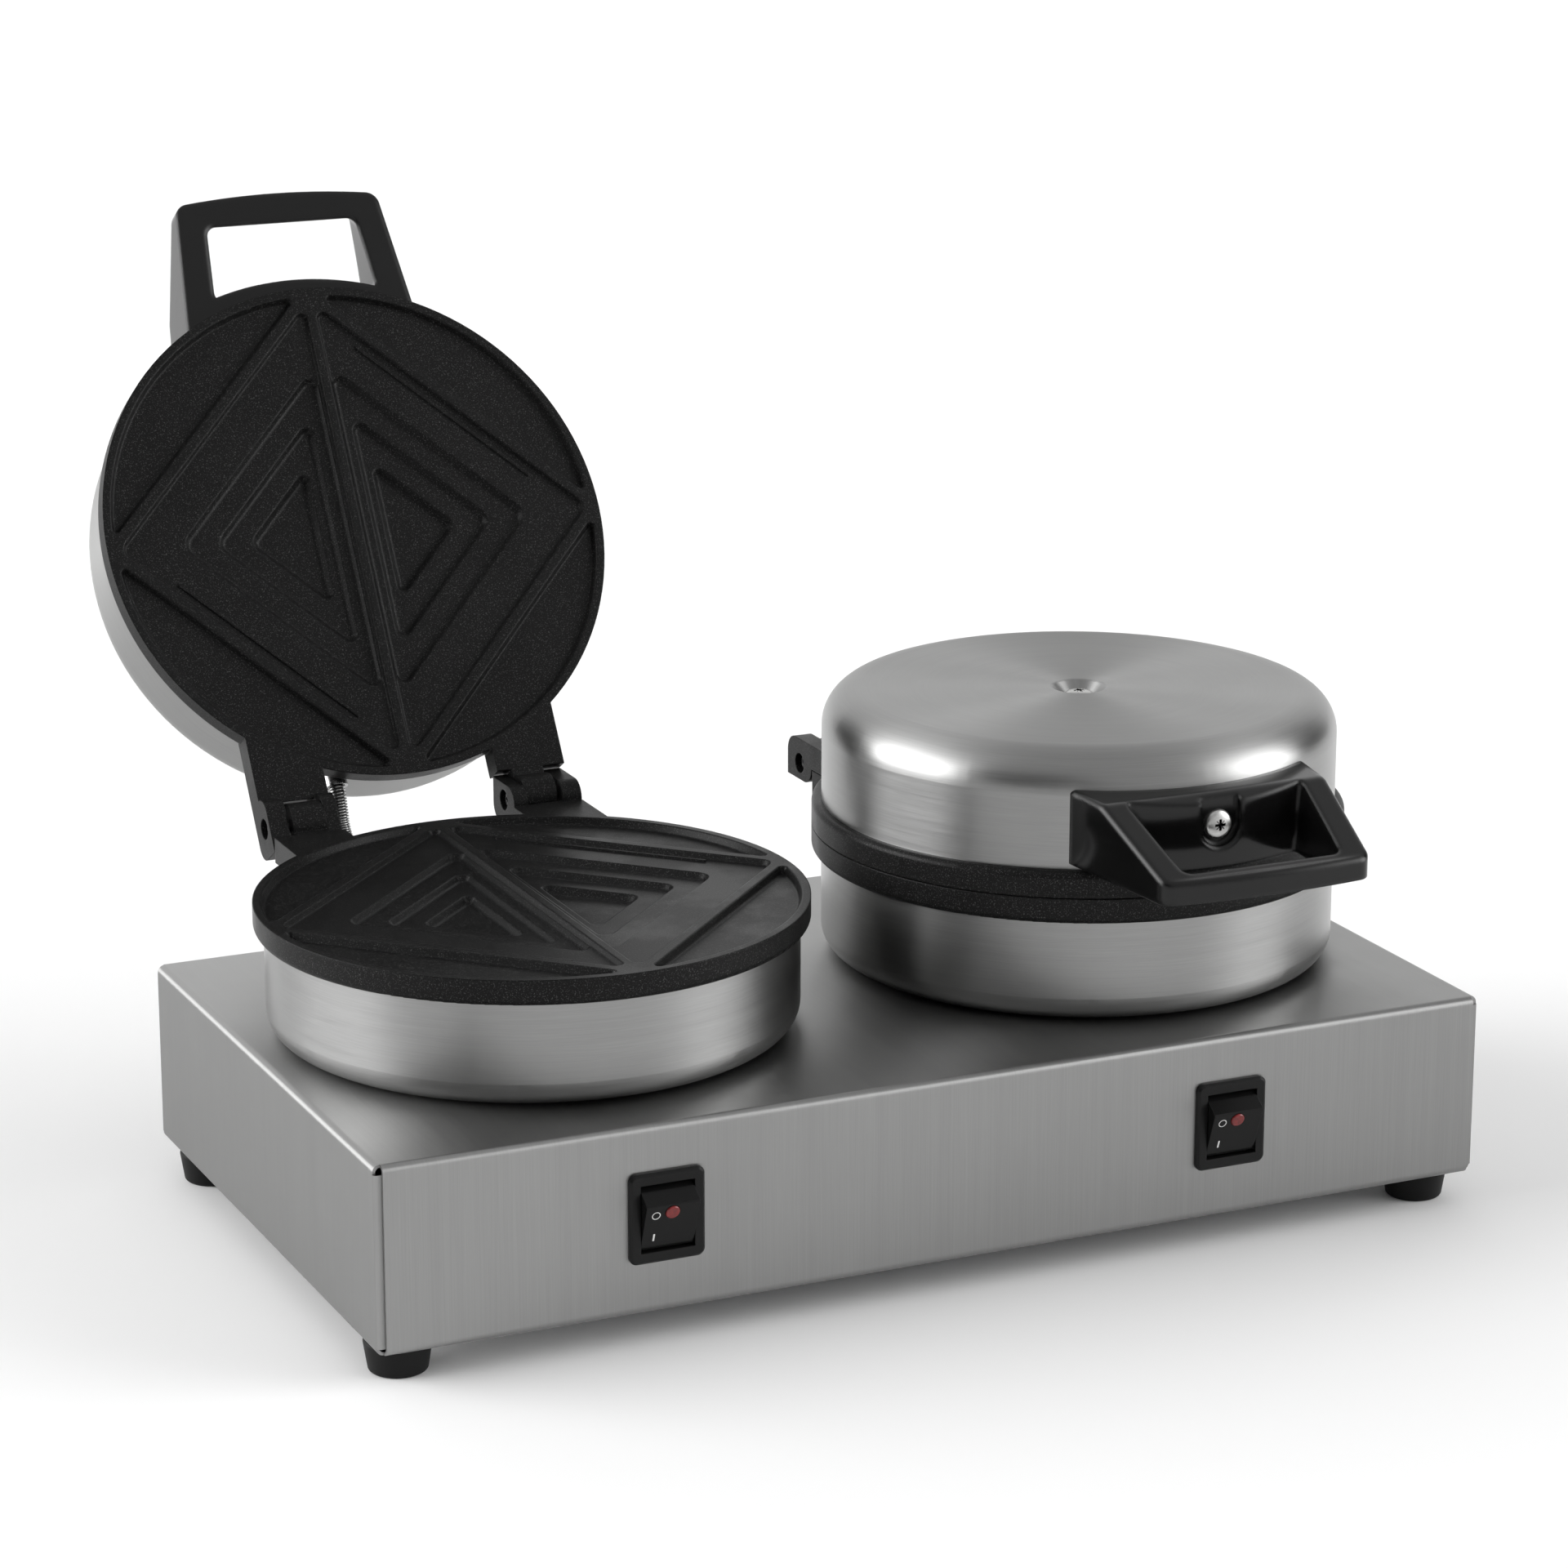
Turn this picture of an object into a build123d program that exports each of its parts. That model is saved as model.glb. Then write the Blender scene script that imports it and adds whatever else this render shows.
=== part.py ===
from build123d import *
import os
from math import atan, cos, degrees, pi, radians, sin, sqrt

os.makedirs("parts", exist_ok=True)

# Contact grill: a sheet steel base box that carries two round heads, in millimetres.
# The origin is at the centre of the base on the surface it stands on, +Z up, front towards -Y.

# Base box, folded from one sheet
base_length = 460.0
base_depth = 256.0
base_height = 73.0
base_sheet = 1.2
base_bend = 3.0
base_flange = 22.0
corner_gap = 0.2
corner_setback = 3.0
corner_return = 14.0
corner_bend = 1.6
corner_relief = 3.5

# Bottom cover and its screws
cover_sheet = 0.8
cover_inset = 4.0
cover_corner = 6.0
vent_count = 7
vent_pitch = 12.0
vent_length = 60.0
vent_width = 4.0
cover_screw = 4.0
cover_screw_head = 7.6
cover_screw_head_height = 2.4
cover_screw_length = 8.0
cover_screw_spread = 75.0
cover_screw_offset = 50.0
cover_screw_clearance = 0.2

# Feet
foot_height = 12.7
foot_top = 26.0
foot_bottom = 22.0
foot_edge = 1.5
foot_inset_x = 14.5
foot_inset_y = 20.5
foot_recess = 13.0
foot_recess_depth = 6.5
foot_screw = 5.0
foot_screw_head = 9.5
foot_screw_head_height = 3.4
foot_nut = 8.0
foot_nut_height = 4.0
foot_screw_clearance = 0.4
thread_gap = 0.05

# Cable gland and the joints inside the base
gland_hole = 16.0
gland_height = 28.0
gland_flange = 24.0
gland_flange_thickness = 4.0
gland_dome = 20.0
gland_dome_length = 16.0
gland_bore = 8.0
gland_shank = 12.0
gland_nut = 22.0
gland_nut_thickness = 5.0
gland_clearance = 0.1
terminal_length = 44.0
terminal_width = 20.0
terminal_height = 17.0
terminal_ways = 4
terminal_hole = 3.5
terminal_setback = 60.0
earth_stud = 5.0
earth_stud_length = 18.0
earth_nut = 8.0
earth_nut_height = 4.0
earth_stud_offset = 40.0

# Rocker switches
switch_height = 37.7
bezel_width = 30.0
bezel_height = 35.0
bezel_depth = 2.3
bezel_corner = 3.0
bezel_edge = 1.0
switch_body_width = 25.4
switch_body_height = 30.4
switch_body_depth = 24.0
switch_clearance = 0.1
rocker_width = 21.2
rocker_height = 25.2
rocker_gap = 0.2
rocker_swing_gap = 0.3
rocker_well = 14.0
rocker_pivot_depth = 3.0
rocker_ridge_height = 6.7
rocker_ridge_reach = 8.5
rocker_foot_reach = 1.5
rocker_skirt_depth = 6.0
rocker_skirt_half = 9.0
rocker_edge = 0.6
trunnion = 3.0
trunnion_length = 1.4
trunnion_end_gap = 0.2
lens_diameter = 5.6
lens_drop = 3.4
lens_depth = 2.4
lens_proud = 0.7
lens_clearance = 0.05
tab_width = 4.8
tab_thickness = 0.8
tab_length = 8.0
tab_spacing_x = 9.0
tab_spacing_z = 12.0

# Heads
head_spacing = 236.0
plate_radius = 107.0
plate_thickness = 10.5
plate_edge = 2.6
seam_gap = 0.4
shell_radius = 103.0
shell_wall = 1.0
lower_shell_height = 41.2
lower_shell_corner = 10.0
lid_shell_height = 45.4
lid_shell_corner = 16.0
dimple_radius = 6.8
dimple_bend = 1.5
spigot_wall = 3.0
spigot_height = 3.0
spigot_clearance = 0.2
boss_radius = 8.0
back_pad_radius = 50.0
back_pad_height = 3.0

# Grill pattern
rim_width = 3.4
rib_width = 4.2
rib_square = 102.1
square_depth = 2.2
segment_depth = 3.0
segment_corner = 2.0
recess_floor_round = 0.9
recess_rim_round = 0.7
pocket_floor_round = 2.0
pocket_rim_round = 0.9
wall_draft = 25.0
centre_rib = 3.6
square_corner = 5.0
pocket_draft = 40.0
pocket_steps = ((76.4, 2.6, 7.0, 2.4), (60.7, 8.3, 6.0, 2.4), (45.4, 13.8, 5.0, 2.8))
bead_square = 96.1
bead_length = 90.0
bead_width = 1.3
bead_height = 0.8

# Hinges
hinge_offset = 123.0
open_angle = 122.5
hinge_outer = 66.2
hinge_inner = 36.6
outer_ear = 8.0
inner_ear = 6.0
knuckle_gap_outer = 1.6
knuckle_gap_inner = 0.3
knuckle_radius = 9.2
ear_back = 11.8
ear_drop = 7.0
arm_setback = 12.5
slot_setback = 10.4
pin_diameter = 5.0
pin_bore = 2.6
pin_running_gap = 0.05
pin_recess = 8.5
pin_recess_depth_outer = 3.0
pin_recess_depth_inner = 2.5
pin_proud = 1.0

# Heating elements, reflectors and thermostats
element_radius = 72.0
element_tube = 8.0
element_seat = 1.5
element_clearance = 0.1
element_gap_angle = 22.0
element_bend = 9.0
element_lead = 14.0
reflector_radius = 92.0
reflector_sheet = 0.8
reflector_post_radius = 4.5
reflector_rivet_radius = 2.0
reflector_rivet_height = 1.6
reflector_post_ring = 60.0
reflector_clearance = 0.6
rivet_clearance = 0.1
thermostat_radius = 9.0
thermostat_height = 9.0
thermostat_offset = 32.0
thermostat_tab = 7.0

# Head screws
fixing_diameter = 6.0
fixing_clearance = 0.6
fixing_thread_gap = 0.1
fixing_end_room = 2.0
fixing_grip = 18.0
fixing_head = 11.6
fixing_head_height = 3.4
fixing_hex = 10.0
fixing_hex_height = 4.0
cross_depth = 1.8
cross_width = 1.3
cross_length = 6.4

# Handles
handle_length = 53.0
handle_bow = 3.0
handle_half_front = 44.5
handle_half_back = 51.5
handle_wrap = 17.0
handle_lift = 2.0
handle_top = 42.4
handle_fall = 1.2
handle_land = 7.5
handle_nose_run = 4.5
handle_nose = 9.4
handle_shell_gap = 0.1
handle_corner = 6.0
handle_edge = 2.0
handle_under_edge = 0.8
handle_grip = 14.5
handle_wall = 13.5
opening_run_out = 8.0
opening_widening = 3.0
opening_half_front = 32.7
opening_half_back = 35.7
opening_flare = 7.0
opening_flare_height = 10.0
opening_corner = 4.5
opening_top_edge = 1.0
opening_under_edge = 1.2
screw_recess_width = 17.0
screw_recess_depth = 3.5
handle_screw_height = 29.0
handle_screw = 6.0
handle_screw_clearance = 0.4
handle_nut_height = 5.0
handle_nut_pad = 18.0
handle_nut_gap = 0.05

# Conduits that carry the lid wires past the hinge
port_offset = 27.0
port_height = 17.0
ferrule_radius = 4.9
ferrule_reach = 5.0
ferrule_neck = 4.3
ferrule_inside = 3.0
ferrule_fit = 0.1
ferrule_seat_gap = 0.05
ferrule_clearance = 0.3
ferrule_notch = 9.0
conduit_radius = 3.5
conduit_wire = 0.8
conduit_pitch = 1.8
conduit_clearance = 0.2
conduit_grip = 4.0
conduit_bend = 16.0
conduit_over_bend = 15.5
conduit_lead = 1.0
conduit_shut_lead = 5.5
sleeve_radius = 2.2

# Hole that the heads' wires take into the base
wire_hole = 10.0
wire_hole_offset = 60.0

# Levels and places worked out from the sizes above
base_bottom = foot_height + cover_sheet
base_top = base_bottom + base_height
seam_height = base_top + lower_shell_height + plate_thickness
half_seam = seam_gap / 2
front_face = -base_depth / 2
dimple_sink = lid_shell_height - lower_shell_height
boss_height = lower_shell_height - shell_wall
reflector_level = plate_thickness + element_seat + element_tube / 2
hinge_axis = Axis((0, hinge_offset, seam_height), (-1, 0, 0))
heads = {"left": (-head_spacing / 2, open_angle), "right": (head_spacing / 2, 0.0)}
port_face = sqrt(shell_radius**2 - port_offset**2)
port_mouth = port_face + ferrule_reach
handle_reach = shell_radius + handle_length
handle_back = shell_radius - handle_wrap
opening_front = handle_reach - handle_grip
opening_back = shell_radius + handle_wall


def save(name, *solids):
    """Write one sub-part, as one solid or as a group of separate solids."""
    shape = solids[0] if len(solids) == 1 else Compound(children=list(solids))
    export_step(shape, f"parts/{name}.step")


def block(x, y, z):
    """Box from three (low, high) pairs."""
    size = [high - low for low, high in (x, y, z)]
    centre = [(low + high) / 2 for low, high in (x, y, z)]
    return Pos(*centre) * Box(*size)


def rod(radius, bottom, top, x=0.0, y=0.0):
    """Upright cylinder between two levels."""
    return Pos(x, y, (bottom + top) / 2) * Cylinder(radius, top - bottom)


def rod_y(radius, front, back, x=0.0, z=0.0):
    """Cylinder along Y between two places."""
    return Pos(x, (front + back) / 2, z) * Rot(90, 0, 0) * Cylinder(radius, back - front)


def rod_x(radius, left, right, y=0.0, z=0.0):
    """Cylinder along X between two places."""
    return Pos((left + right) / 2, y, z) * Rot(0, 90, 0) * Cylinder(radius, right - left)


def hexagon(across_flats, bottom, top, x=0.0, y=0.0):
    """Upright hexagonal prism between two levels."""
    corner = across_flats / 2 / cos(pi / 6)
    return Pos(x, y, bottom) * extrude(RegularPolygon(corner, 6), top - bottom)


def outline(points, radii):
    """Closed face through points whose corners have the given radii."""
    return make_face(FilletPolyline(*points, radius=radii, close=True).edges())


def plan_view(face, bottom, top):
    """Prism of a face drawn in XY, between two levels."""
    return Pos(0, 0, bottom) * extrude(face, top - bottom)


def side_view(face, left, right):
    """Prism of a face drawn as (Y, Z), between two places along X."""
    return Pos(left, 0, 0) * extrude(Plane.YZ * face, right - left)


def front_view(face, front, back):
    """Prism of a face drawn as (X, Z), between two places along Y."""
    return Pos(0, back, 0) * extrude(Plane.XZ * face, back - front)


def pan_screw(diameter, head, head_height, length):
    """Pan-head screw with a cross recess; the head stands on z = 0 and the shank hangs below."""
    dome = fillet(rod(head / 2, 0, head_height).edges().group_by(Axis.Z)[-1], head_height * 0.6)
    depth = head_height - cross_depth
    arm = cross_length / 2
    half = cross_width / 2
    for angle in (0, 90):
        slot = block((-arm, arm), (-half, half), (depth, head_height))
        dome -= Rot(0, 0, angle) * slot
    return dome + rod(diameter / 2, -length, 0)


# Base box


def channel(width, height, wall, bend, mouth):
    """Cross-section of a folded box whose bottom is open between two flanges."""
    outer = RectangleRounded(width, height, bend)
    inner = RectangleRounded(width - 2 * wall, height - 2 * wall, bend - wall)
    return outer - inner - Pos(0, -height / 2) * Rectangle(mouth, 4 * wall)


def base_housing():
    """Folded box: the front and back wrap over the ends of the side panels."""
    middle = base_bottom + base_height / 2
    wrap_half = base_length / 2 - corner_setback
    side_half = base_depth / 2 - base_sheet - corner_gap
    wrap = channel(base_depth, base_height, base_sheet, base_bend, base_depth - 2 * base_flange)
    sides = channel(base_length, base_height, base_sheet, base_bend, base_length - 2 * base_flange)
    housing = side_view(Pos(0, middle) * wrap, -wrap_half, wrap_half)
    flange_end = base_length / 2 - base_flange - corner_gap
    flange_side = base_depth / 2 - base_bend
    bottom_sheet = (base_bottom - 1, base_bottom + base_sheet)
    bottom_bend = (base_bottom - 1, base_bottom + base_bend)
    panel_half = side_half - corner_bend
    panels = front_view(Pos(0, middle) * sides, -panel_half, panel_half)
    for end in (-1, 1):
        x = sorted((end * flange_end, end * base_length))
        y = sorted((end * (panel_half - corner_gap), end * base_depth))
        housing -= block(x, (-flange_side, flange_side), bottom_sheet)
        panels -= block((-base_length, base_length), y, bottom_bend)
    ring = RectangleRounded(base_length, 2 * side_half, corner_bend)
    ring -= RectangleRounded(
        base_length - 2 * base_sheet, 2 * (side_half - base_sheet), corner_bend - base_sheet
    )
    ring -= Rectangle(base_length - 2 * corner_return, base_depth)
    returns = plan_view(ring, base_bottom + base_bend, base_top - corner_relief)
    housing = housing + panels + returns
    for hole in fixing_holes(base_bottom - 1, base_bottom + 2 * base_sheet):
        housing -= hole
    for x, _ in heads.values():
        housing -= rod((fixing_diameter + fixing_clearance) / 2, base_top - 3, base_top + 1, x)
        housing -= rod(wire_hole / 2, base_top - 3, base_top + 1, x, wire_hole_offset)
        cut_width = switch_body_width + 2 * switch_clearance
        cut_height = switch_body_height + 2 * switch_clearance
        z = base_bottom + switch_height
        housing -= block(
            (x - cut_width / 2, x + cut_width / 2),
            (front_face - 1, front_face + 2 * base_sheet),
            (z - cut_height / 2, z + cut_height / 2),
        )
    back = base_depth / 2
    return housing - rod_y(gland_hole / 2, back - 3, back + 1, 0, base_bottom + gland_height)


def foot_places():
    """Centres of the four feet."""
    x = base_length / 2 - foot_inset_x
    y = base_depth / 2 - foot_inset_y
    return [(-x, -y), (x, -y), (-x, y), (x, y)]


def cover_screw_places():
    """Centres of the bottom cover's screws, along the middle of the flanges."""
    x = base_length / 2 - base_flange / 2
    y = base_depth / 2 - base_flange / 2
    along = [(sx * cover_screw_spread, sy * y) for sx in (-1, 1) for sy in (-1, 1)]
    across = [(sx * x, sy * cover_screw_offset) for sx in (-1, 1) for sy in (-1, 1)]
    return along + across


def fixing_holes(bottom, top):
    """Holes of the feet's and the bottom cover's screws, between two levels."""
    foot_hole = (foot_screw + foot_screw_clearance) / 2
    cover_hole = (cover_screw + cover_screw_clearance) / 2
    holes = [rod(foot_hole, bottom, top, x, y) for x, y in foot_places()]
    return holes + [rod(cover_hole, bottom, top, x, y) for x, y in cover_screw_places()]


def base_plate():
    """Flat cover under the flanges, with two rows of vent slots."""
    face = RectangleRounded(base_length - 2 * cover_inset, base_depth - 2 * cover_inset, cover_corner)
    plate = plan_view(face, foot_height, base_bottom)
    for x, _ in heads.values():
        for index in range(vent_count):
            y = (index - (vent_count - 1) / 2) * vent_pitch
            slot = Pos(x, y) * SlotOverall(vent_length, vent_width)
            plate -= plan_view(slot, foot_height - 1, base_bottom + 1)
    for hole in fixing_holes(foot_height - 1, base_bottom + 1):
        plate -= hole
    return plate


def base_plate_screws():
    """Pan-head screws, driven up through the cover into the flanges."""
    screw = pan_screw(cover_screw, cover_screw_head, cover_screw_head_height, cover_screw_length)
    return [Pos(x, y, foot_height) * Rot(180, 0, 0) * screw for x, y in cover_screw_places()]


def foot(x, y):
    """Tapered rubber foot, recessed for its screw."""
    profile = outline(
        [(0, 0), (foot_bottom / 2, 0), (foot_top / 2, foot_height), (0, foot_height)],
        [0, foot_edge, foot_edge, 0],
    )
    body = revolve(Plane.XZ * profile, Axis.Z)
    body -= rod(foot_recess / 2, -1, foot_recess_depth)
    body -= rod((foot_screw + foot_screw_clearance) / 2, 0, foot_height + 1)
    return Pos(x, y, 0) * body


def foot_fasteners():
    """A screw and a nut for each foot."""
    nut_bottom = base_bottom + base_sheet
    length = nut_bottom + foot_nut_height + 1 - foot_recess_depth
    screw = pan_screw(foot_screw, foot_screw_head, foot_screw_head_height, length)
    pieces = []
    for x, y in foot_places():
        pieces.append(Pos(x, y, foot_recess_depth) * Rot(180, 0, 0) * screw)
        nut = hexagon(foot_nut, nut_bottom, nut_bottom + foot_nut_height, x, y)
        pieces.append(nut - rod(foot_screw / 2 + thread_gap, nut_bottom - 1, nut_bottom + 9, x, y))
    return pieces


def cable_gland():
    """Strain relief in the back wall: hexagonal flange, domed cap and threaded shank."""
    back = base_depth / 2
    z = base_bottom + gland_height
    flange = hexagon(gland_flange, 0, gland_flange_thickness)
    dome = rod(gland_dome / 2, 0, gland_flange_thickness + gland_dome_length)
    dome = fillet(dome.edges().group_by(Axis.Z)[-1], gland_dome * 0.3)
    shank = rod(gland_hole / 2 - gland_clearance, -gland_shank, 1)
    bore = rod(gland_bore / 2, -gland_shank - 1, gland_flange_thickness + gland_dome_length + 1)
    gland = flange + dome + shank - bore
    return Pos(0, back, z) * Rot(-90, 0, 0) * gland


def gland_lock_nut():
    """Thin nut that holds the gland from inside."""
    inside = base_depth / 2 - base_sheet
    nut = hexagon(gland_nut, -gland_nut_thickness, 0) - rod(gland_hole / 2, -gland_nut_thickness - 1, 1)
    return Pos(0, inside, base_bottom + gland_height) * Rot(-90, 0, 0) * nut


def terminal_block():
    """Four-way block on the bottom cover."""
    y = base_depth / 2 - terminal_setback
    half = terminal_length / 2
    half_width = terminal_width / 2
    top = base_bottom + terminal_height
    block_body = block((-half, half), (y - half_width, y + half_width), (base_bottom, top))
    pitch = terminal_length / terminal_ways
    for way in range(terminal_ways):
        x = (way - (terminal_ways - 1) / 2) * pitch
        z = base_bottom + terminal_height / 2
        block_body -= rod_y(terminal_hole / 2, y - terminal_width, y + terminal_width, x, z)
        block_body -= rod(terminal_hole / 2, z, base_bottom + terminal_height + 1, x, y)
    return block_body


def earth_fitting():
    """Earth stud on the inside of the back wall, with its nut."""
    inside = base_depth / 2 - base_sheet
    z = base_bottom + gland_height
    stud = rod_y(earth_stud / 2, inside - earth_stud_length, inside, earth_stud_offset, z)
    nut = hexagon(earth_nut, 0, earth_nut_height)
    nut -= rod(earth_stud / 2 + thread_gap, -1, earth_nut_height + 1)
    nut = Pos(earth_stud_offset, inside - earth_nut_height, z) * Rot(90, 0, 0) * nut
    return [stud, nut]


# Switches


def switch_body():
    """Bezel and housing in one moulding, around the rocker's well."""
    bezel = extrude(RectangleRounded(bezel_width, bezel_height, bezel_corner), bezel_depth)
    bezel = chamfer(bezel.edges().group_by(Axis.Z)[-1], bezel_edge)
    body = bezel + block(
        (-switch_body_width / 2, switch_body_width / 2),
        (-switch_body_height / 2, switch_body_height / 2),
        (-switch_body_depth, 0.5),
    )
    well_x = rocker_width / 2 + rocker_gap
    well_y = rocker_height / 2 + rocker_gap + rocker_swing_gap
    body -= block((-well_x, well_x), (-well_y, well_y), (bezel_depth - rocker_well, bezel_depth + 1))
    pivot = bezel_depth - rocker_pivot_depth
    reach = rocker_width / 2 + trunnion_length + trunnion_end_gap
    return body - rod_x(trunnion / 2 + pin_running_gap, -reach, reach, 0, pivot)


def rocker():
    """Two-faced button with a trunnion on each side; its pivot is on the X axis."""
    half = rocker_height / 2
    profile = outline(
        [
            (0, half),
            (rocker_ridge_reach, rocker_ridge_height),
            (rocker_foot_reach, -half),
            (-rocker_skirt_depth, -rocker_skirt_half),
            (-rocker_skirt_depth, rocker_skirt_half),
        ],
        [rocker_edge, rocker_edge, rocker_edge, 1.5, 1.5],
    )
    body = Pos(rocker_width / 2, 0, 0) * Rot(0, -90, 0) * extrude(profile, rocker_width)
    span = rocker_width / 2 + trunnion_length
    body += rod_x(trunnion / 2, -span, span)
    return body - lens_place() * rod(lens_diameter / 2 + lens_clearance, -lens_depth, 5)


def lens_place():
    """Seat of the lamp lens on the rocker's lower face."""
    slope = (rocker_ridge_reach - rocker_foot_reach) / (rocker_height / 2 + rocker_ridge_height)
    y = rocker_ridge_height - lens_drop
    z = rocker_ridge_reach - lens_drop * slope
    return Pos(0, y, z) * Rot(degrees(atan(slope)), 0, 0)


def switch_lens():
    """Domed lamp lens, seated in the rocker."""
    dome = rod(lens_diameter / 2, -lens_depth, lens_proud)
    return lens_place() * fillet(dome.edges().group_by(Axis.Z)[-1], lens_proud * 0.9)


def switch_tabs():
    """Four spade terminals behind the switch body."""
    tabs = []
    for sx in (-1, 1):
        for sz in (-1, 1):
            x = sx * tab_spacing_x / 2
            y = sz * tab_spacing_z / 2
            tabs.append(
                block(
                    (x - tab_thickness / 2, x + tab_thickness / 2),
                    (y - tab_width / 2, y + tab_width / 2),
                    (-switch_body_depth - tab_length, -switch_body_depth),
                )
            )
    return tabs


def on_front(x, solid, depth=0.0):
    """Place a switch piece drawn with its face up, on the front wall under a head."""
    return Pos(x, front_face + depth, base_bottom + switch_height) * Rot(90, 0, 0) * solid


# Castings


def plate_disc():
    """Round plate with its back pad, shell spigot, boss and rivet posts; the grilling side is below."""
    disc = rod(plate_radius, half_seam, plate_thickness)
    disc = fillet(disc.edges().group_by(Axis.Z)[-1], plate_edge)
    spigot_radius = shell_radius - shell_wall - spigot_clearance
    top = plate_thickness + spigot_height
    disc += rod(spigot_radius, plate_thickness - 1, top) - rod(spigot_radius - spigot_wall, 0, top + 1)
    disc += rod(back_pad_radius, plate_thickness - 1, plate_thickness + back_pad_height)
    disc += rod(boss_radius, plate_thickness - 1, plate_thickness + boss_height)
    boss_top = plate_thickness + boss_height
    hole_end = boss_top - fixing_grip - fixing_end_room
    disc -= rod(fixing_diameter / 2 + fixing_thread_gap, hole_end, boss_top + 1)
    for x, y in post_places():
        disc += rod(reflector_post_radius, plate_thickness - 1, reflector_level, x, y)
        rivet_top = reflector_level + reflector_sheet + reflector_rivet_height
        disc += rod(reflector_rivet_radius, reflector_level - 1, rivet_top, x, y)
    return disc


def post_places():
    """Three riveting posts between the back pad and the element."""
    angles = [radians(angle) for angle in (-90, 30, 150)]
    return [(reflector_post_ring * cos(angle), reflector_post_ring * sin(angle)) for angle in angles]


def drafted_cut(face, depth, draft, floor_round):
    """Recess cut upwards from the grilling side, with sloping walls and a rounded floor."""
    cut = extrude(face, depth, taper=draft)
    return Pos(0, 0, half_seam) * fillet(cut.edges().group_by(Axis.Z)[-1], floor_round)


def half_square(reach, inset, corner):
    """Right half of a square that stands on its corner, cut off beside the centre rib."""
    tip = reach - inset
    return outline([(inset, -tip), (reach, 0), (inset, tip)], [corner * 0.6, corner, corner * 0.6])


def segment_face():
    """One of the four outer recesses, between the rim and a side of the square, in the +X +Y quarter."""
    inner = rib_square + rib_width * sqrt(2)
    radius = plate_radius - rim_width
    face = Circle(radius) - Rot(0, 0, 45) * Rectangle(inner * sqrt(2), inner * sqrt(2))
    face = face & Pos(radius, radius) * Rectangle(2 * radius, 2 * radius)
    return fillet(face.vertices(), segment_corner)


def grill_cuts():
    """All recesses of the grilling side."""
    cuts = []
    segment = segment_face()
    for quarter in range(4):
        turned = Rot(0, 0, 90 * quarter) * segment
        cuts.append(drafted_cut(turned, segment_depth, wall_draft, recess_floor_round))
    for turn in (0, 180):
        floor = half_square(rib_square, centre_rib / 2, square_corner)
        cuts.append(Rot(0, 0, turn) * drafted_cut(floor, square_depth, wall_draft, recess_floor_round))
        level = square_depth
        for reach, inset, corner, depth in pocket_steps:
            face = half_square(reach, inset, corner)
            step = drafted_cut(face, depth, pocket_draft, pocket_floor_round)
            cuts.append(Pos(0, 0, level) * Rot(0, 0, turn) * step)
            level += depth
    return cuts


def flat_edges(plate, level):
    """Edges that lie at one depth of the grilling side."""
    boxes = [(edge, edge.bounding_box()) for edge in plate.edges()]
    return [edge for edge, box in boxes if abs(box.min.Z - level) + abs(box.max.Z - level) < 1e-4]


def soften_rims(plate):
    """Round the rims of the recesses and of the steps inside the pockets."""
    inside = plate_radius - rim_width / 2
    rims = [edge for edge in flat_edges(plate, half_seam) if edge.center().length < inside]
    plate = fillet(rims, recess_rim_round)
    level = half_seam + square_depth
    for _, _, _, depth in pocket_steps[:-1]:
        level += depth
        plate = fillet(flat_edges(plate, level), pocket_rim_round)
    return plate


def grill_beads():
    """Two fine beads on the square's floor, beside its front right and back left sides."""
    bead = block(
        (-bead_length / 2, bead_length / 2),
        (-bead_width / 2, bead_width / 2),
        (half_seam + square_depth - bead_height, half_seam + square_depth + 0.5),
    )
    middle = bead_square / 2
    return [Pos(side * middle, -side * middle, 0) * Rot(0, 0, 45) * bead for side in (-1, 1)]


def ear_face():
    """Side view of a clevis ear as (Y, Z); its square lower corner is the lid's stop."""
    back = hinge_offset + ear_back
    return outline(
        [
            (hinge_offset - arm_setback - 1, half_seam),
            (hinge_offset - ear_back, half_seam),
            (hinge_offset - ear_back, -ear_drop),
            (back, -ear_drop),
            (back, plate_thickness),
            (hinge_offset - arm_setback - 1, plate_thickness),
        ],
        [0, 0, ear_drop, 0, ear_drop, 0],
    )


def knuckle_face():
    """Side view of the middle knuckle as (Y, Z)."""
    web = Polygon(
        (hinge_offset - arm_setback - 1, half_seam),
        (hinge_offset, half_seam),
        (hinge_offset, knuckle_radius),
        (hinge_offset - arm_setback - 1, plate_thickness),
        align=None,
    )
    return web + Pos(hinge_offset, 0) * Circle(knuckle_radius)


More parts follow.
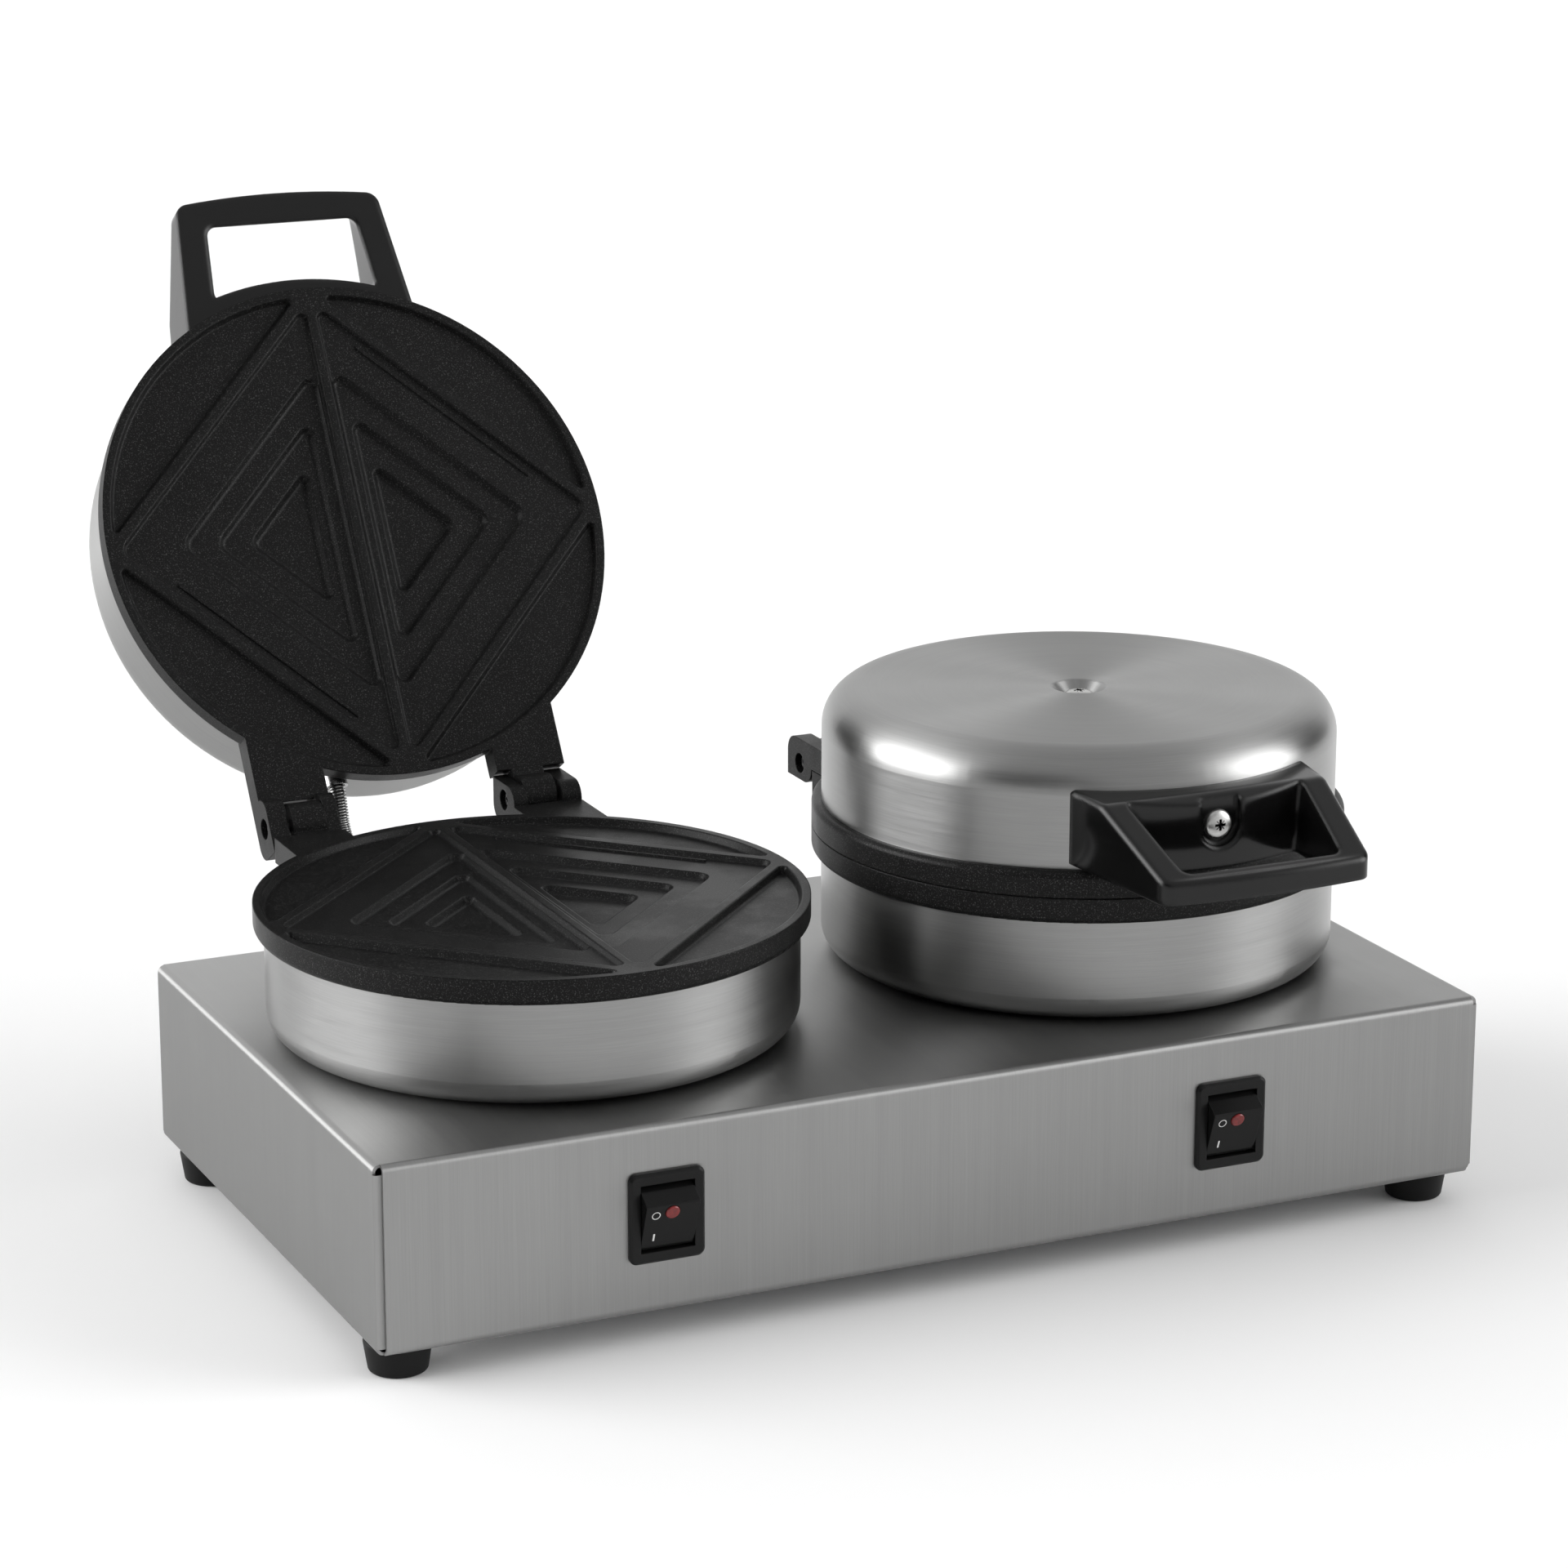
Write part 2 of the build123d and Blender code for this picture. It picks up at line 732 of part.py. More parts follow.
def hinge_arms():
    """Clevis arm on the left and knuckle arm on the right, behind the plate."""
    start = 0.75 * plate_radius
    arm_end = hinge_offset - arm_setback
    slot_left = -hinge_outer + outer_ear
    slot_right = -hinge_inner - inner_ear
    clevis = block((-hinge_outer, -hinge_inner), (start, arm_end), (half_seam, plate_thickness))
    slot_end = hinge_offset - slot_setback
    clevis += block((slot_left, slot_right), (start, slot_end), (half_seam, plate_thickness))
    clevis += side_view(ear_face(), -hinge_outer, slot_left)
    clevis += side_view(ear_face(), slot_right, -hinge_inner)
    clevis -= rod_x(pin_diameter / 2, -hinge_outer - 1, -hinge_inner + 1, hinge_offset)
    recess = pin_recess / 2
    clevis -= rod_x(recess, -hinge_outer - 1, -hinge_outer + pin_recess_depth_outer, hinge_offset)
    clevis -= rod_x(recess, -hinge_inner - pin_recess_depth_inner, -hinge_inner + 1, hinge_offset)
    knuckle_left = hinge_inner + inner_ear + knuckle_gap_inner
    knuckle_right = hinge_outer - outer_ear - knuckle_gap_outer
    arm = block((hinge_inner, hinge_outer), (start, arm_end), (half_seam, plate_thickness))
    arm += side_view(knuckle_face(), knuckle_left, knuckle_right)
    arm -= rod_x(pin_diameter / 2 + pin_running_gap, hinge_inner, hinge_outer, hinge_offset)
    return [clevis, arm]


def casting():
    """Grill plate as the upper one lies: seam on z = 0, back up, front towards -Y."""
    plate = plate_disc()
    for arm in hinge_arms():
        plate += arm
    for cut in grill_cuts():
        plate -= cut
    plate = soften_rims(plate)
    for bead in grill_beads():
        plate += bead
    for side in (-1, 1):
        x = side * port_offset
        room = ferrule_neck + ferrule_clearance
        plate -= rod_y(room, port_face - ferrule_notch, shell_radius, x, port_height)
    return plate - element_ring(element_tube / 2 + element_clearance)


# Shells


def shell(height, corner, sink):
    """Drawn cover with a rounded edge and, where it sinks, a dimple for its screw."""
    hole = (fixing_diameter + fixing_clearance) / 2
    inner = shell_radius - shell_wall
    under = height - shell_wall
    if sink:
        slope_end = dimple_radius + sink
        turn = shell_wall * (sqrt(2) - 1)
        points = [
            (hole, height - sink),
            (dimple_radius, height - sink),
            (slope_end, height),
            (shell_radius, height),
            (shell_radius, 0),
            (inner, 0),
            (inner, under),
            (slope_end + turn, under),
            (dimple_radius + turn, under - sink),
            (hole, under - sink),
        ]
        bends = [0, dimple_bend / 2, dimple_bend, corner, 0]
        bends += [0, corner - shell_wall, dimple_bend, dimple_bend / 2, 0]
    else:
        points = [
            (hole, height),
            (shell_radius, height),
            (shell_radius, 0),
            (inner, 0),
            (inner, under),
            (hole, under),
        ]
        bends = [0, corner, 0, 0, corner - shell_wall, 0]
    cover = revolve(Plane.XZ * outline(points, bends), Axis.Z)
    cover = Pos(0, 0, plate_thickness) * cover
    room = ferrule_neck + ferrule_fit
    port = rod_y(room, port_face - ferrule_notch, shell_radius + 1, -port_offset, port_height)
    return cover - port


def lower_shell():
    """Lower cover as its own plate lies when turned up, with a hole for the wires."""
    top = plate_thickness + lower_shell_height
    return mirror(shell(lower_shell_height, lower_shell_corner, 0), Plane.YZ) - rod(
        wire_hole / 2, top - 3, top + 1, 0, wire_hole_offset
    )


def lid_shell():
    """Lid cover, with a hole for the handle's screw."""
    cover = shell(lid_shell_height, lid_shell_corner, dimple_sink)
    hole = (handle_screw + handle_screw_clearance) / 2
    return cover - rod_y(hole, -shell_radius - 1, -shell_radius + 3, 0, handle_screw_height)


# Element, reflector and thermostat


def element_ring(radius):
    """Heating tube bent into an open ring, its ends turned away from the plate."""
    level = plate_thickness + element_seat
    gap = radians(element_gap_angle)
    start = Vector(element_radius * sin(gap), element_radius * cos(gap), level)
    end = Vector(-start.X, start.Y, level)
    ring = ThreePointArc(start, (0, -element_radius, level), end)
    edges = [ring.edge()]
    for point, out in ((start, Vector(-cos(gap), sin(gap), 0)), (end, Vector(cos(gap), sin(gap), 0))):
        turned = point + out * element_bend + Vector(0, 0, element_bend)
        edges.append(Edge.make_tangent_arc(point, out, turned))
        edges.append(Edge.make_line(turned, turned + Vector(0, 0, element_lead)))
    path = Wire(edges)
    tip = path @ 0
    return sweep(Plane(tip, z_dir=path % 0) * Circle(radius), path=path)


def reflector():
    """Round sheet over the element, riveted on the posts."""
    sheet = rod(reflector_radius, reflector_level, reflector_level + reflector_sheet)
    sheet -= rod(boss_radius + reflector_clearance, 0, reflector_level + 9)
    for x, y in post_places():
        sheet -= rod(reflector_rivet_radius + rivet_clearance, 0, reflector_level + 9, x, y)
    room = thermostat_radius + 2 * reflector_clearance
    sheet -= rod(room, 0, reflector_level + 9, 0, thermostat_offset)
    gap = radians(element_gap_angle)
    reach = element_tube / 2 + reflector_clearance
    for side in (-1, 1):
        x = side * (element_radius * sin(gap) - element_bend * cos(gap))
        y = element_radius * cos(gap) + element_bend * sin(gap)
        sheet -= rod(reach + element_bend, 0, reflector_level + 9, x, y)
    return sheet


def thermostat():
    """Disc thermostat on the back pad, with two tabs."""
    base = plate_thickness + back_pad_height
    body = rod(thermostat_radius, base, base + thermostat_height, 0, thermostat_offset)
    for side in (-1, 1):
        x = side * thermostat_radius * 0.5
        body += block(
            (x - tab_width / 2, x + tab_width / 2),
            (thermostat_offset - tab_thickness / 2, thermostat_offset + tab_thickness / 2),
            (base + thermostat_height - 1, base + thermostat_height + thermostat_tab),
        )
    return body


# Handle


def handle():
    """Moulded grip: a slope-topped block with a finger opening, hollowed to the shell."""
    low = plate_thickness + handle_lift
    front = -handle_reach
    left = (-handle_half_front, front + handle_bow)
    right = (handle_half_front, front + handle_bow)
    plan = make_face(
        [
            ThreePointArc(left, (0, front), right).edge(),
            Line(right, (handle_half_back, -handle_back)).edge(),
            Line((handle_half_back, -handle_back), (-handle_half_back, -handle_back)).edge(),
            Line((-handle_half_back, -handle_back), left).edge(),
        ]
    )
    plan = fillet(plan.vertices().group_by(Axis.Y)[0], handle_corner)
    profile = outline(
        [
            (front, low),
            (front, low + handle_nose),
            (front + handle_nose_run, low + handle_nose),
            (-shell_radius - handle_land, handle_top - handle_fall),
            (-handle_back, handle_top),
            (-handle_back, low),
        ],
        [0, 0, handle_edge, 4 * handle_edge, 0, 0],
    )
    body = plan_view(plan, low, handle_top + 1) & side_view(profile, -handle_half_back, handle_half_back)
    body = soften_wall(body, low)
    body -= rod(shell_radius + handle_shell_gap, 0, handle_top + 2)
    body = soften_opening(body - finger_opening(low))
    half = screw_recess_width / 2
    floor = -(opening_back - screw_recess_depth)
    recess = block((-half, half), (-opening_back - 4, floor), (handle_screw_height, handle_top + 1))
    recess += rod_y(half, -opening_back - 4, floor, 0, handle_screw_height)
    hole = (handle_screw + handle_screw_clearance) / 2
    return body - recess - rod_y(hole, -opening_back, -shell_radius + shell_wall, 0, handle_screw_height)


def wall_edges(body):
    """Edges above and below the handle's outer wall."""
    upright = [face for face in body.faces() if abs(face.normal_at().Z) < 1e-6]
    wall = [face for face in upright if face.center().Y < -handle_back - handle_edge / 2]
    sizes = [(edge, edge.bounding_box().size) for face in wall for edge in face.edges()]
    return [edge for edge, size in sizes if size.X + size.Y > handle_edge / 10]


def soften_wall(body, low):
    """Round the handle's outer edges, less along its underside than on top."""
    middle = low + handle_nose / 2
    under = [edge for edge in wall_edges(body) if edge.bounding_box().max.Z < middle]
    body = fillet(under, handle_under_edge)
    top = [edge for edge in wall_edges(body) if edge.bounding_box().min.Z > middle]
    return fillet(top, handle_edge)


def soften_opening(body):
    """Round the rim of the finger opening, all round below and on the slope above."""
    underside = body.faces().sort_by(Axis.Z)[0]
    body = fillet(underside.inner_wires()[0].edges(), opening_under_edge)
    slopes = [face for face in body.faces().filter_by(GeomType.PLANE) if 0.1 < face.normal_at().Z < 0.98]
    slope = ShapeList(slopes).sort_by(SortBy.AREA)[-1]
    return fillet(slope.edges().filter_by(GeomType.BSPLINE), opening_top_edge)


def finger_opening(low):
    """Opening between the grip and the shell, flared upwards at the front."""
    top = handle_top + 2
    flare = opening_flare * (top - low) / opening_flare_height
    bottom_face = outline(
        [
            (-opening_half_front, -opening_front),
            (opening_half_front, -opening_front),
            (opening_half_back, -opening_back + opening_run_out),
            (-opening_half_back, -opening_back + opening_run_out),
        ],
        [opening_corner] * 4,
    )
    top_face = outline(
        [
            (-opening_half_front - opening_widening, -opening_front - flare),
            (opening_half_front + opening_widening, -opening_front - flare),
            (opening_half_back + opening_widening, -opening_back + opening_run_out),
            (-opening_half_back - opening_widening, -opening_back + opening_run_out),
        ],
        [opening_corner] * 4,
    )
    hole = loft([Pos(0, 0, low - 0.01) * bottom_face, Pos(0, 0, top) * top_face], ruled=True)
    return hole - rod(opening_back, 0, top + 1)


def handle_fastening():
    """Pan-head screw through the grip and the shell, and its nut inside."""
    head_face = opening_back - screw_recess_depth
    length = head_face - shell_radius + shell_wall + handle_nut_height + 3
    screw = pan_screw(handle_screw, fixing_head, fixing_head_height, length)
    screw = Pos(0, -head_face, handle_screw_height) * Rot(90, 0, 0) * screw
    inside = shell_radius - shell_wall
    seat = inside - handle_nut_height - 1
    pad = block(
        (-handle_nut_pad / 2, handle_nut_pad / 2),
        (-inside - 1, -seat),
        (handle_screw_height - handle_nut_pad / 2, handle_screw_height + handle_nut_pad / 2),
    )
    nut = pad & rod(inside - handle_nut_gap, 0, 3 * handle_screw_height)
    nut -= rod_y(handle_screw / 2 + thread_gap, -inside - 2, -seat + 1, 0, handle_screw_height)
    return screw, nut


# Screws of the heads


def lid_screw():
    """Pan-head screw in the lid's dimple, down into the boss."""
    level = plate_thickness + lid_shell_height - dimple_sink
    return Pos(0, 0, level) * pan_screw(
        fixing_diameter, fixing_head, fixing_head_height, shell_wall + fixing_grip
    )


def lower_fixing():
    """Hexagon screw from inside the base, up into the lower plate's boss."""
    level = plate_thickness + lower_shell_height + base_sheet
    head = hexagon(fixing_hex, level, level + fixing_hex_height)
    return head + rod(fixing_diameter / 2, level - base_sheet - shell_wall - fixing_grip, level + 1)


def hinge_pin():
    """Hollow pin held in the clevis ears of the casting."""
    left = -hinge_outer + pin_recess_depth_outer - pin_proud
    right = -hinge_inner - pin_recess_depth_inner + pin_proud
    tube = rod_x(pin_diameter / 2, left, right, hinge_offset)
    return tube - rod_x(pin_bore / 2, left - 1, right + 1, hinge_offset)


# Conduits


def ferrule():
    """Collar that holds a conduit's end in the back of a shell."""
    collar = rod_y(ferrule_radius, port_face - ferrule_notch, port_mouth, -port_offset, port_height)
    collar -= rod(shell_radius + ferrule_seat_gap, 0, 2 * port_height)
    neck = rod_y(ferrule_neck, port_face - ferrule_inside, port_mouth - 1, -port_offset, port_height)
    room = conduit_radius + conduit_clearance
    bore = rod_y(room, port_face - ferrule_notch, port_mouth + 1, -port_offset, port_height)
    return collar + neck - bore


def conduit_runs(lid_angle):
    """Runs of a conduit from mouth to mouth in its plane, each a length and a turn."""
    if not lid_angle:
        return [(conduit_shut_lead, 0), (pi * port_height, pi), (conduit_shut_lead, 0)]
    angle = radians(lid_angle)
    turn = pi - angle
    back = radians(conduit_over_bend)
    first = turn + back
    reach = port_mouth - hinge_offset
    across = reach * (cos(angle) - 1) + port_height * sin(angle)
    up = -reach * sin(angle) + port_height * (cos(angle) + 1)
    across -= conduit_bend * (2 * sin(first) - sin(turn)) + conduit_lead * cos(turn)
    up -= conduit_bend * (1 - 2 * cos(first) + cos(turn)) + conduit_lead * sin(turn)
    middle = up / sin(first)
    return [
        (across - middle * cos(first), 0),
        (conduit_bend * first, first),
        (middle, 0),
        (conduit_bend * back, -back),
        (conduit_lead, 0),
    ]


class Centreline:
    """Straight runs joined by arcs, in the plane behind a head where its conduit bends."""

    def __init__(self, runs):
        self.runs = [(conduit_grip, 0)] + runs + [(conduit_grip, 0)]
        self.length = sum(length for length, _ in self.runs)
        self.turns = round(self.length / conduit_pitch)

    def place(self, distance):
        """Point and heading at a distance along the line."""
        point = Vector(0, 0, 0)
        angle = 0.0
        left = distance
        for length, turn in self.runs:
            part = min(left, length)
            swing = turn * part / length
            chord = part if swing == 0 else 2 * part / swing * sin(swing / 2)
            point += Vector(0, cos(angle + swing / 2), sin(angle + swing / 2)) * chord
            angle += swing
            left -= part
            if left <= 0:
                break
        return point, Vector(0, cos(angle), sin(angle))

    def coil(self, distance):
        """Point of the wound wire at a distance along the line."""
        point, heading = self.place(distance)
        phase = 2 * pi * self.turns * distance / self.length
        normal = Vector(0, -heading.Z, heading.Y)
        reach = conduit_radius - conduit_wire / 2
        return point + Vector(1, 0, 0) * (reach * cos(phase)) + normal * (reach * sin(phase))

    def heading(self, distance):
        """Direction of the wound wire."""
        step = conduit_pitch / 400
        low = max(distance - step, 0)
        high = min(distance + step, self.length)
        return (self.coil(high) - self.coil(low)).normalized()


def biarc(start, start_heading, end, end_heading):
    """Two arcs that leave one point and reach another with the given headings."""
    span = end - start
    both = start_heading + end_heading
    spread = 2 * (1 - start_heading.dot(end_heading))
    along = span.dot(both)
    reach = (sqrt(along**2 + spread * span.dot(span)) - along) / spread
    first = start + start_heading * reach
    last = end - end_heading * reach
    middle = (first + last) * 0.5
    return [
        Edge.make_tangent_arc(start, start_heading, middle),
        Edge.make_tangent_arc(middle, last - first, end),
    ]


def coil_path(line):
    """Half-turn biarcs along the wound wire, with a short straight at each end."""
    count = 2 * line.turns
    places = [line.length * index / count for index in range(count + 1)]
    points = [line.coil(place) for place in places]
    headings = [line.heading(place) for place in places]
    edges = [Edge.make_line(points[0] - headings[0] * conduit_wire, points[0])]
    for index in range(count):
        edges += biarc(points[index], headings[index], points[index + 1], headings[index + 1])
    edges.append(Edge.make_line(points[-1], points[-1] + headings[-1] * conduit_wire))
    return Wire(edges)


def least_gap(line):
    """Least clear distance between neighbouring turns of the wound wire."""
    samples = 48
    step = line.length / line.turns / samples
    total = line.turns * samples
    points = [line.coil(index * step) for index in range(total + 1)]
    gap = line.length
    for index in range(total + 1 - samples // 2):
        for other in range(index + samples // 2, min(index + 2 * samples, total + 1)):
            gap = min(gap, (points[other] - points[index]).length)
    return gap - conduit_wire


def sleeve_path(line):
    """Middle line of the sleeve, one edge for each run."""
    edges = []
    start = 0.0
    for length, turn in line.runs:
        first, middle, last = (line.place(start + length * share)[0] for share in (0, 0.5, 1))
        if turn:
            edges.append(Edge.make_three_point_arc(first, middle, last))
        else:
            edges.append(Edge.make_line(first, last))
        start += length
    return Wire(edges)


def conduit_wires(lid_angle):
    """Wound hose and the sleeve inside it, drawn from the grip in the lower ferrule."""
    line = Centreline(conduit_runs(lid_angle))
    print(f"conduit at {lid_angle:.1f} degrees: {line.turns} turns, least gap {least_gap(line):.2f}")
    print("runs " + ", ".join(f"{length:.1f} by {degrees(turn):.0f}" for length, turn in line.runs))
    path = coil_path(line)
    coil = sweep(Plane(path @ 0, z_dir=path % 0) * Circle(conduit_wire / 2), path=path)
    core = sleeve_path(line)
    sleeve = sweep(Plane(core @ 0, z_dir=core % 0) * Circle(sleeve_radius), path=core)
    return coil, sleeve


# Placing


def as_upper(solid, x, angle):
    """Place a piece of an upper half and swing it open about its hinge."""
    return (Pos(x, 0, seam_height) * solid).rotate(hinge_axis, angle)


def as_lower(solid, x):
    """Turn a piece over and place it in the lower half."""
    return Pos(x, 0, seam_height) * Rot(0, 180, 0) * solid


def save_base():
    """Write the base box and what it holds."""
    save("base_housing", base_housing())
    save("base_plate", base_plate())
    save("base_plate_screws", *base_plate_screws())
    for name, (x, y) in zip(("front_left", "front_right", "back_left", "back_right"), foot_places()):
        save(f"foot_{name}", foot(x, y))
    save("foot_fasteners", *foot_fasteners())
    save("cable_gland", cable_gland())
    save("gland_lock_nut", gland_lock_nut())
    save("terminal_block", terminal_block())
    save("earth_stud", *earth_fitting())


def save_switch(side, x):
    """Write one switch."""
    pivot = rocker_pivot_depth - bezel_depth
    save(f"switch_body_{side}", on_front(x, switch_body()))
    save(f"rocker_{side}", on_front(x, rocker(), pivot))
    save(f"switch_lens_{side}", on_front(x, switch_lens(), pivot))
    save(f"switch_tabs_{side}", *[on_front(x, tab) for tab in switch_tabs()])


def save_head(side, x, angle, plate):
    """Write one head, its lid at the given angle."""
    element = element_ring(element_tube / 2)
    sheet = reflector()
    pin = hinge_pin()
    collar = ferrule()
    save(f"lower_shell_{side}", as_lower(lower_shell(), x))
    save(f"lower_plate_{side}", as_lower(plate, x))
    save(f"lower_element_{side}", as_lower(element, x))
    save(f"lower_reflector_{side}", as_lower(sheet, x))
    save(f"lower_fixing_{side}", as_lower(lower_fixing(), x))
    save(f"thermostat_{side}", as_lower(thermostat(), x))
    save(f"hinge_pin_base_{side}", as_lower(pin, x))
    save(f"conduit_ferrule_lower_{side}", as_lower(mirror(collar, Plane.YZ), x))
    save(f"upper_plate_{side}", as_upper(plate, x, angle))
    save(f"upper_element_{side}", as_upper(element, x, angle))
    save(f"upper_reflector_{side}", as_upper(sheet, x, angle))
    save(f"lid_shell_{side}", as_upper(lid_shell(), x, angle))
    save(f"lid_screw_{side}", as_upper(lid_screw(), x, angle))
    save(f"handle_{side}", as_upper(handle(), x, angle))
    screw, nut = handle_fastening()
    save(f"handle_screw_{side}", as_upper(screw, x, angle))
    save(f"handle_nut_{side}", as_upper(nut, x, angle))
    save(f"hinge_pin_lid_{side}", as_upper(pin, x, angle))
    save(f"conduit_ferrule_upper_{side}", as_upper(collar, x, angle))
    coil, sleeve = conduit_wires(angle)
    entry = Pos(x - port_offset, port_mouth - conduit_grip, seam_height - port_height)
    save(f"conduit_{side}", entry * coil)
    save(f"conduit_sleeve_{side}", entry * sleeve)


grill_plate = casting()
save_base()
for head_side, (head_x, lid_angle) in heads.items():
    save_switch(head_side, head_x)
    save_head(head_side, head_x, lid_angle, grill_plate)
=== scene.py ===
import bmesh
import bpy
from math import cos, pi, radians, sin
from mathutils import Matrix, Vector


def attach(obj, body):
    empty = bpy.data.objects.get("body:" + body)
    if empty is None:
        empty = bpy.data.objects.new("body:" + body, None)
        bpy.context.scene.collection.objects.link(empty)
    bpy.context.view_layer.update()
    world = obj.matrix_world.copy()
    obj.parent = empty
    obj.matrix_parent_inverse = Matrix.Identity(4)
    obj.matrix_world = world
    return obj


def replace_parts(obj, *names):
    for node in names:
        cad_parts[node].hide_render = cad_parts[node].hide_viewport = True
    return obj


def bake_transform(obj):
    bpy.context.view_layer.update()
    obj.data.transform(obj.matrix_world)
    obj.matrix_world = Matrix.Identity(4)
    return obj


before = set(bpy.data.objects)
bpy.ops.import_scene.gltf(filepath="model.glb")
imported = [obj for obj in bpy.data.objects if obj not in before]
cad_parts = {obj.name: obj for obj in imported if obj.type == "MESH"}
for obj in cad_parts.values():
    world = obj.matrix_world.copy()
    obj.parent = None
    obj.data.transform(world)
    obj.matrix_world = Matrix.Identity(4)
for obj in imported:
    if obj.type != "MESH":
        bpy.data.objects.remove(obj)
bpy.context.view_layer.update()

# Places shared by the pieces below, in metres
layout = {
    "heads": {"left": -0.118, "right": 0.118},
    "openAngle": {"left": 122.5, "right": 0.0},
    "hinge": (0.0, 0.123, 0.1382),
    "seam": 0.1382,
}


# From the frame of a lid lying shut, with its seam at z = 0, to where the lid is
def lidMatrix(side):
    hinge = Matrix.Translation(layout["hinge"])
    swing = Matrix.Rotation(-radians(layout["openAngle"][side]), 4, "X")
    return hinge @ swing @ hinge.inverted() @ headMatrix(side)


def headMatrix(side):
    return Matrix.Translation((layout["heads"][side], 0, layout["seam"]))


# Camera, light and floor

camera = {
    "place": (-0.7709, -1.6547, 0.6919),
    "target": (-0.01183, 0.0, 0.16875),
    "roll": 0.04,
    "lens": 111.323,
    "sensor": 36.0,
}

studio = {
    "floorColour": (0.93, 0.93, 0.93),
    "floorRoughness": 0.9,
    "floorShine": 0.1,
    "floorRadius": 7.0,
    "floorSides": 96,
    # Light round the horizon: turn from -Y towards +X, and brightness, with a softbox on each side
    "sky": [
        (-180, 1.10), (-144, 1.10), (-130, 6.8), (-92, 6.8), (-80, 0.30), (-68, 0.05), (-34, 0.05),
        (-18, 0.50), (30, 0.60), (42, 2.2), (50, 5.8), (76, 5.8), (86, 0.10), (112, 0.10), (128, 1.10),
        (180, 1.10),
    ],
    "overhead": 0.62,
    "overheadFrom": 0.42,
    "overheadTo": 0.80,
}


def fillInputs(tree, node, values):
    for socket, value in values.items():
        if isinstance(value, bpy.types.NodeSocket):
            tree.links.new(value, node.inputs[socket])
        else:
            node.inputs[socket].default_value = value


def addNode(tree, kind, values=None, **settings):
    node = tree.nodes.new(kind)
    for name, value in settings.items():
        setattr(node, name, value)
    fillInputs(tree, node, values or {})
    return node


def mathNode(tree, operation, first, second=0.0):
    return addNode(tree, "ShaderNodeMath", {0: first, 1: second}, operation=operation).outputs[0]


def vectorNode(tree, operation, first, second=(0.0, 0.0, 0.0)):
    return addNode(tree, "ShaderNodeVectorMath", {0: first, 1: second}, operation=operation)


def scaleVector(tree, vector, factor):
    values = {0: vector, "Scale": factor}
    return addNode(tree, "ShaderNodeVectorMath", values, operation="SCALE").outputs[0]


# Either colour may be fixed or come from a socket
def blendColour(tree, mask, first, second):
    values = {0: mask}
    for index, colour in ((6, first), (7, second)):
        values[index] = colour if isinstance(colour, bpy.types.NodeSocket) else (*colour, 1)
    return addNode(tree, "ShaderNodeMix", values, data_type="RGBA").outputs[2]


def placeCamera():
    data = bpy.data.cameras.new("photoCamera")
    data.lens = camera["lens"]
    data.sensor_width = camera["sensor"]
    view = bpy.data.objects.new("photoCamera", data)
    bpy.context.collection.objects.link(view)
    place = Vector(camera["place"])
    aim = (Vector(camera["target"]) - place).to_track_quat("-Z", "Y").to_matrix().to_4x4()
    roll = Matrix.Rotation(radians(camera["roll"]), 4, "Z")
    view.matrix_world = Matrix.Translation(place) @ aim @ roll
    bpy.context.scene.camera = view


def makeSky():
    world = bpy.data.worlds.new("studioSky")
    bpy.context.scene.world = world
    world.use_nodes = True
    tree = world.node_tree
    tree.nodes.clear()
    heading = addNode(tree, "ShaderNodeTexCoord").outputs["Generated"]
    parts = addNode(tree, "ShaderNodeSeparateXYZ", {0: heading}).outputs
    back = mathNode(tree, "MULTIPLY", parts["Y"], -1.0)
    turn = mathNode(tree, "ARCTAN2", parts["X"], back)
    share = addNode(tree, "ShaderNodeMapRange", {0: turn, 1: -pi, 2: pi}).outputs[0]
    ramp = addNode(tree, "ShaderNodeValToRGB", {0: share})
    ramp.color_ramp.interpolation = "LINEAR"
    stops = ramp.color_ramp.elements
    while len(stops) < len(studio["sky"]):
        stops.new(0.5)
    for stop, (angle, level) in zip(stops, studio["sky"]):
        stop.position = (angle + 180) / 360
        stop.color = (level, level, level, 1)
    rise = addNode(tree, "ShaderNodeMapRange",
                   {0: parts["Z"], 1: studio["overheadFrom"], 2: studio["overheadTo"]},
                   interpolation_type="SMOOTHSTEP").outputs[0]
    sky = blendColour(tree, rise, ramp.outputs[0], (studio["overhead"],) * 3)
    shine = addNode(tree, "ShaderNodeBackground", {"Color": sky, "Strength": 1.0})
    addNode(tree, "ShaderNodeOutputWorld", {"Surface": shine.outputs[0]})


def makeFloor():
    mesh = bpy.data.meshes.new("floor")
    form = bmesh.new()
    bmesh.ops.create_circle(form, cap_ends=True, segments=studio["floorSides"], radius=studio["floorRadius"])
    form.to_mesh(mesh)
    form.free()
    floor = bpy.data.objects.new("floor", mesh)
    bpy.context.collection.objects.link(floor)
    material = bpy.data.materials.new("floorPaper")
    material.use_nodes = True
    shader = material.node_tree.nodes["Principled BSDF"]
    shader.inputs["Base Color"].default_value = (*studio["floorColour"], 1)
    shader.inputs["Roughness"].default_value = studio["floorRoughness"]
    shader.inputs["Specular IOR Level"].default_value = studio["floorShine"]
    mesh.materials.append(material)


placeCamera()
makeSky()
makeFloor()
bpy.context.scene.view_settings.view_transform = "Standard"
print("stage: camera, sky and floor")


# Shader groups

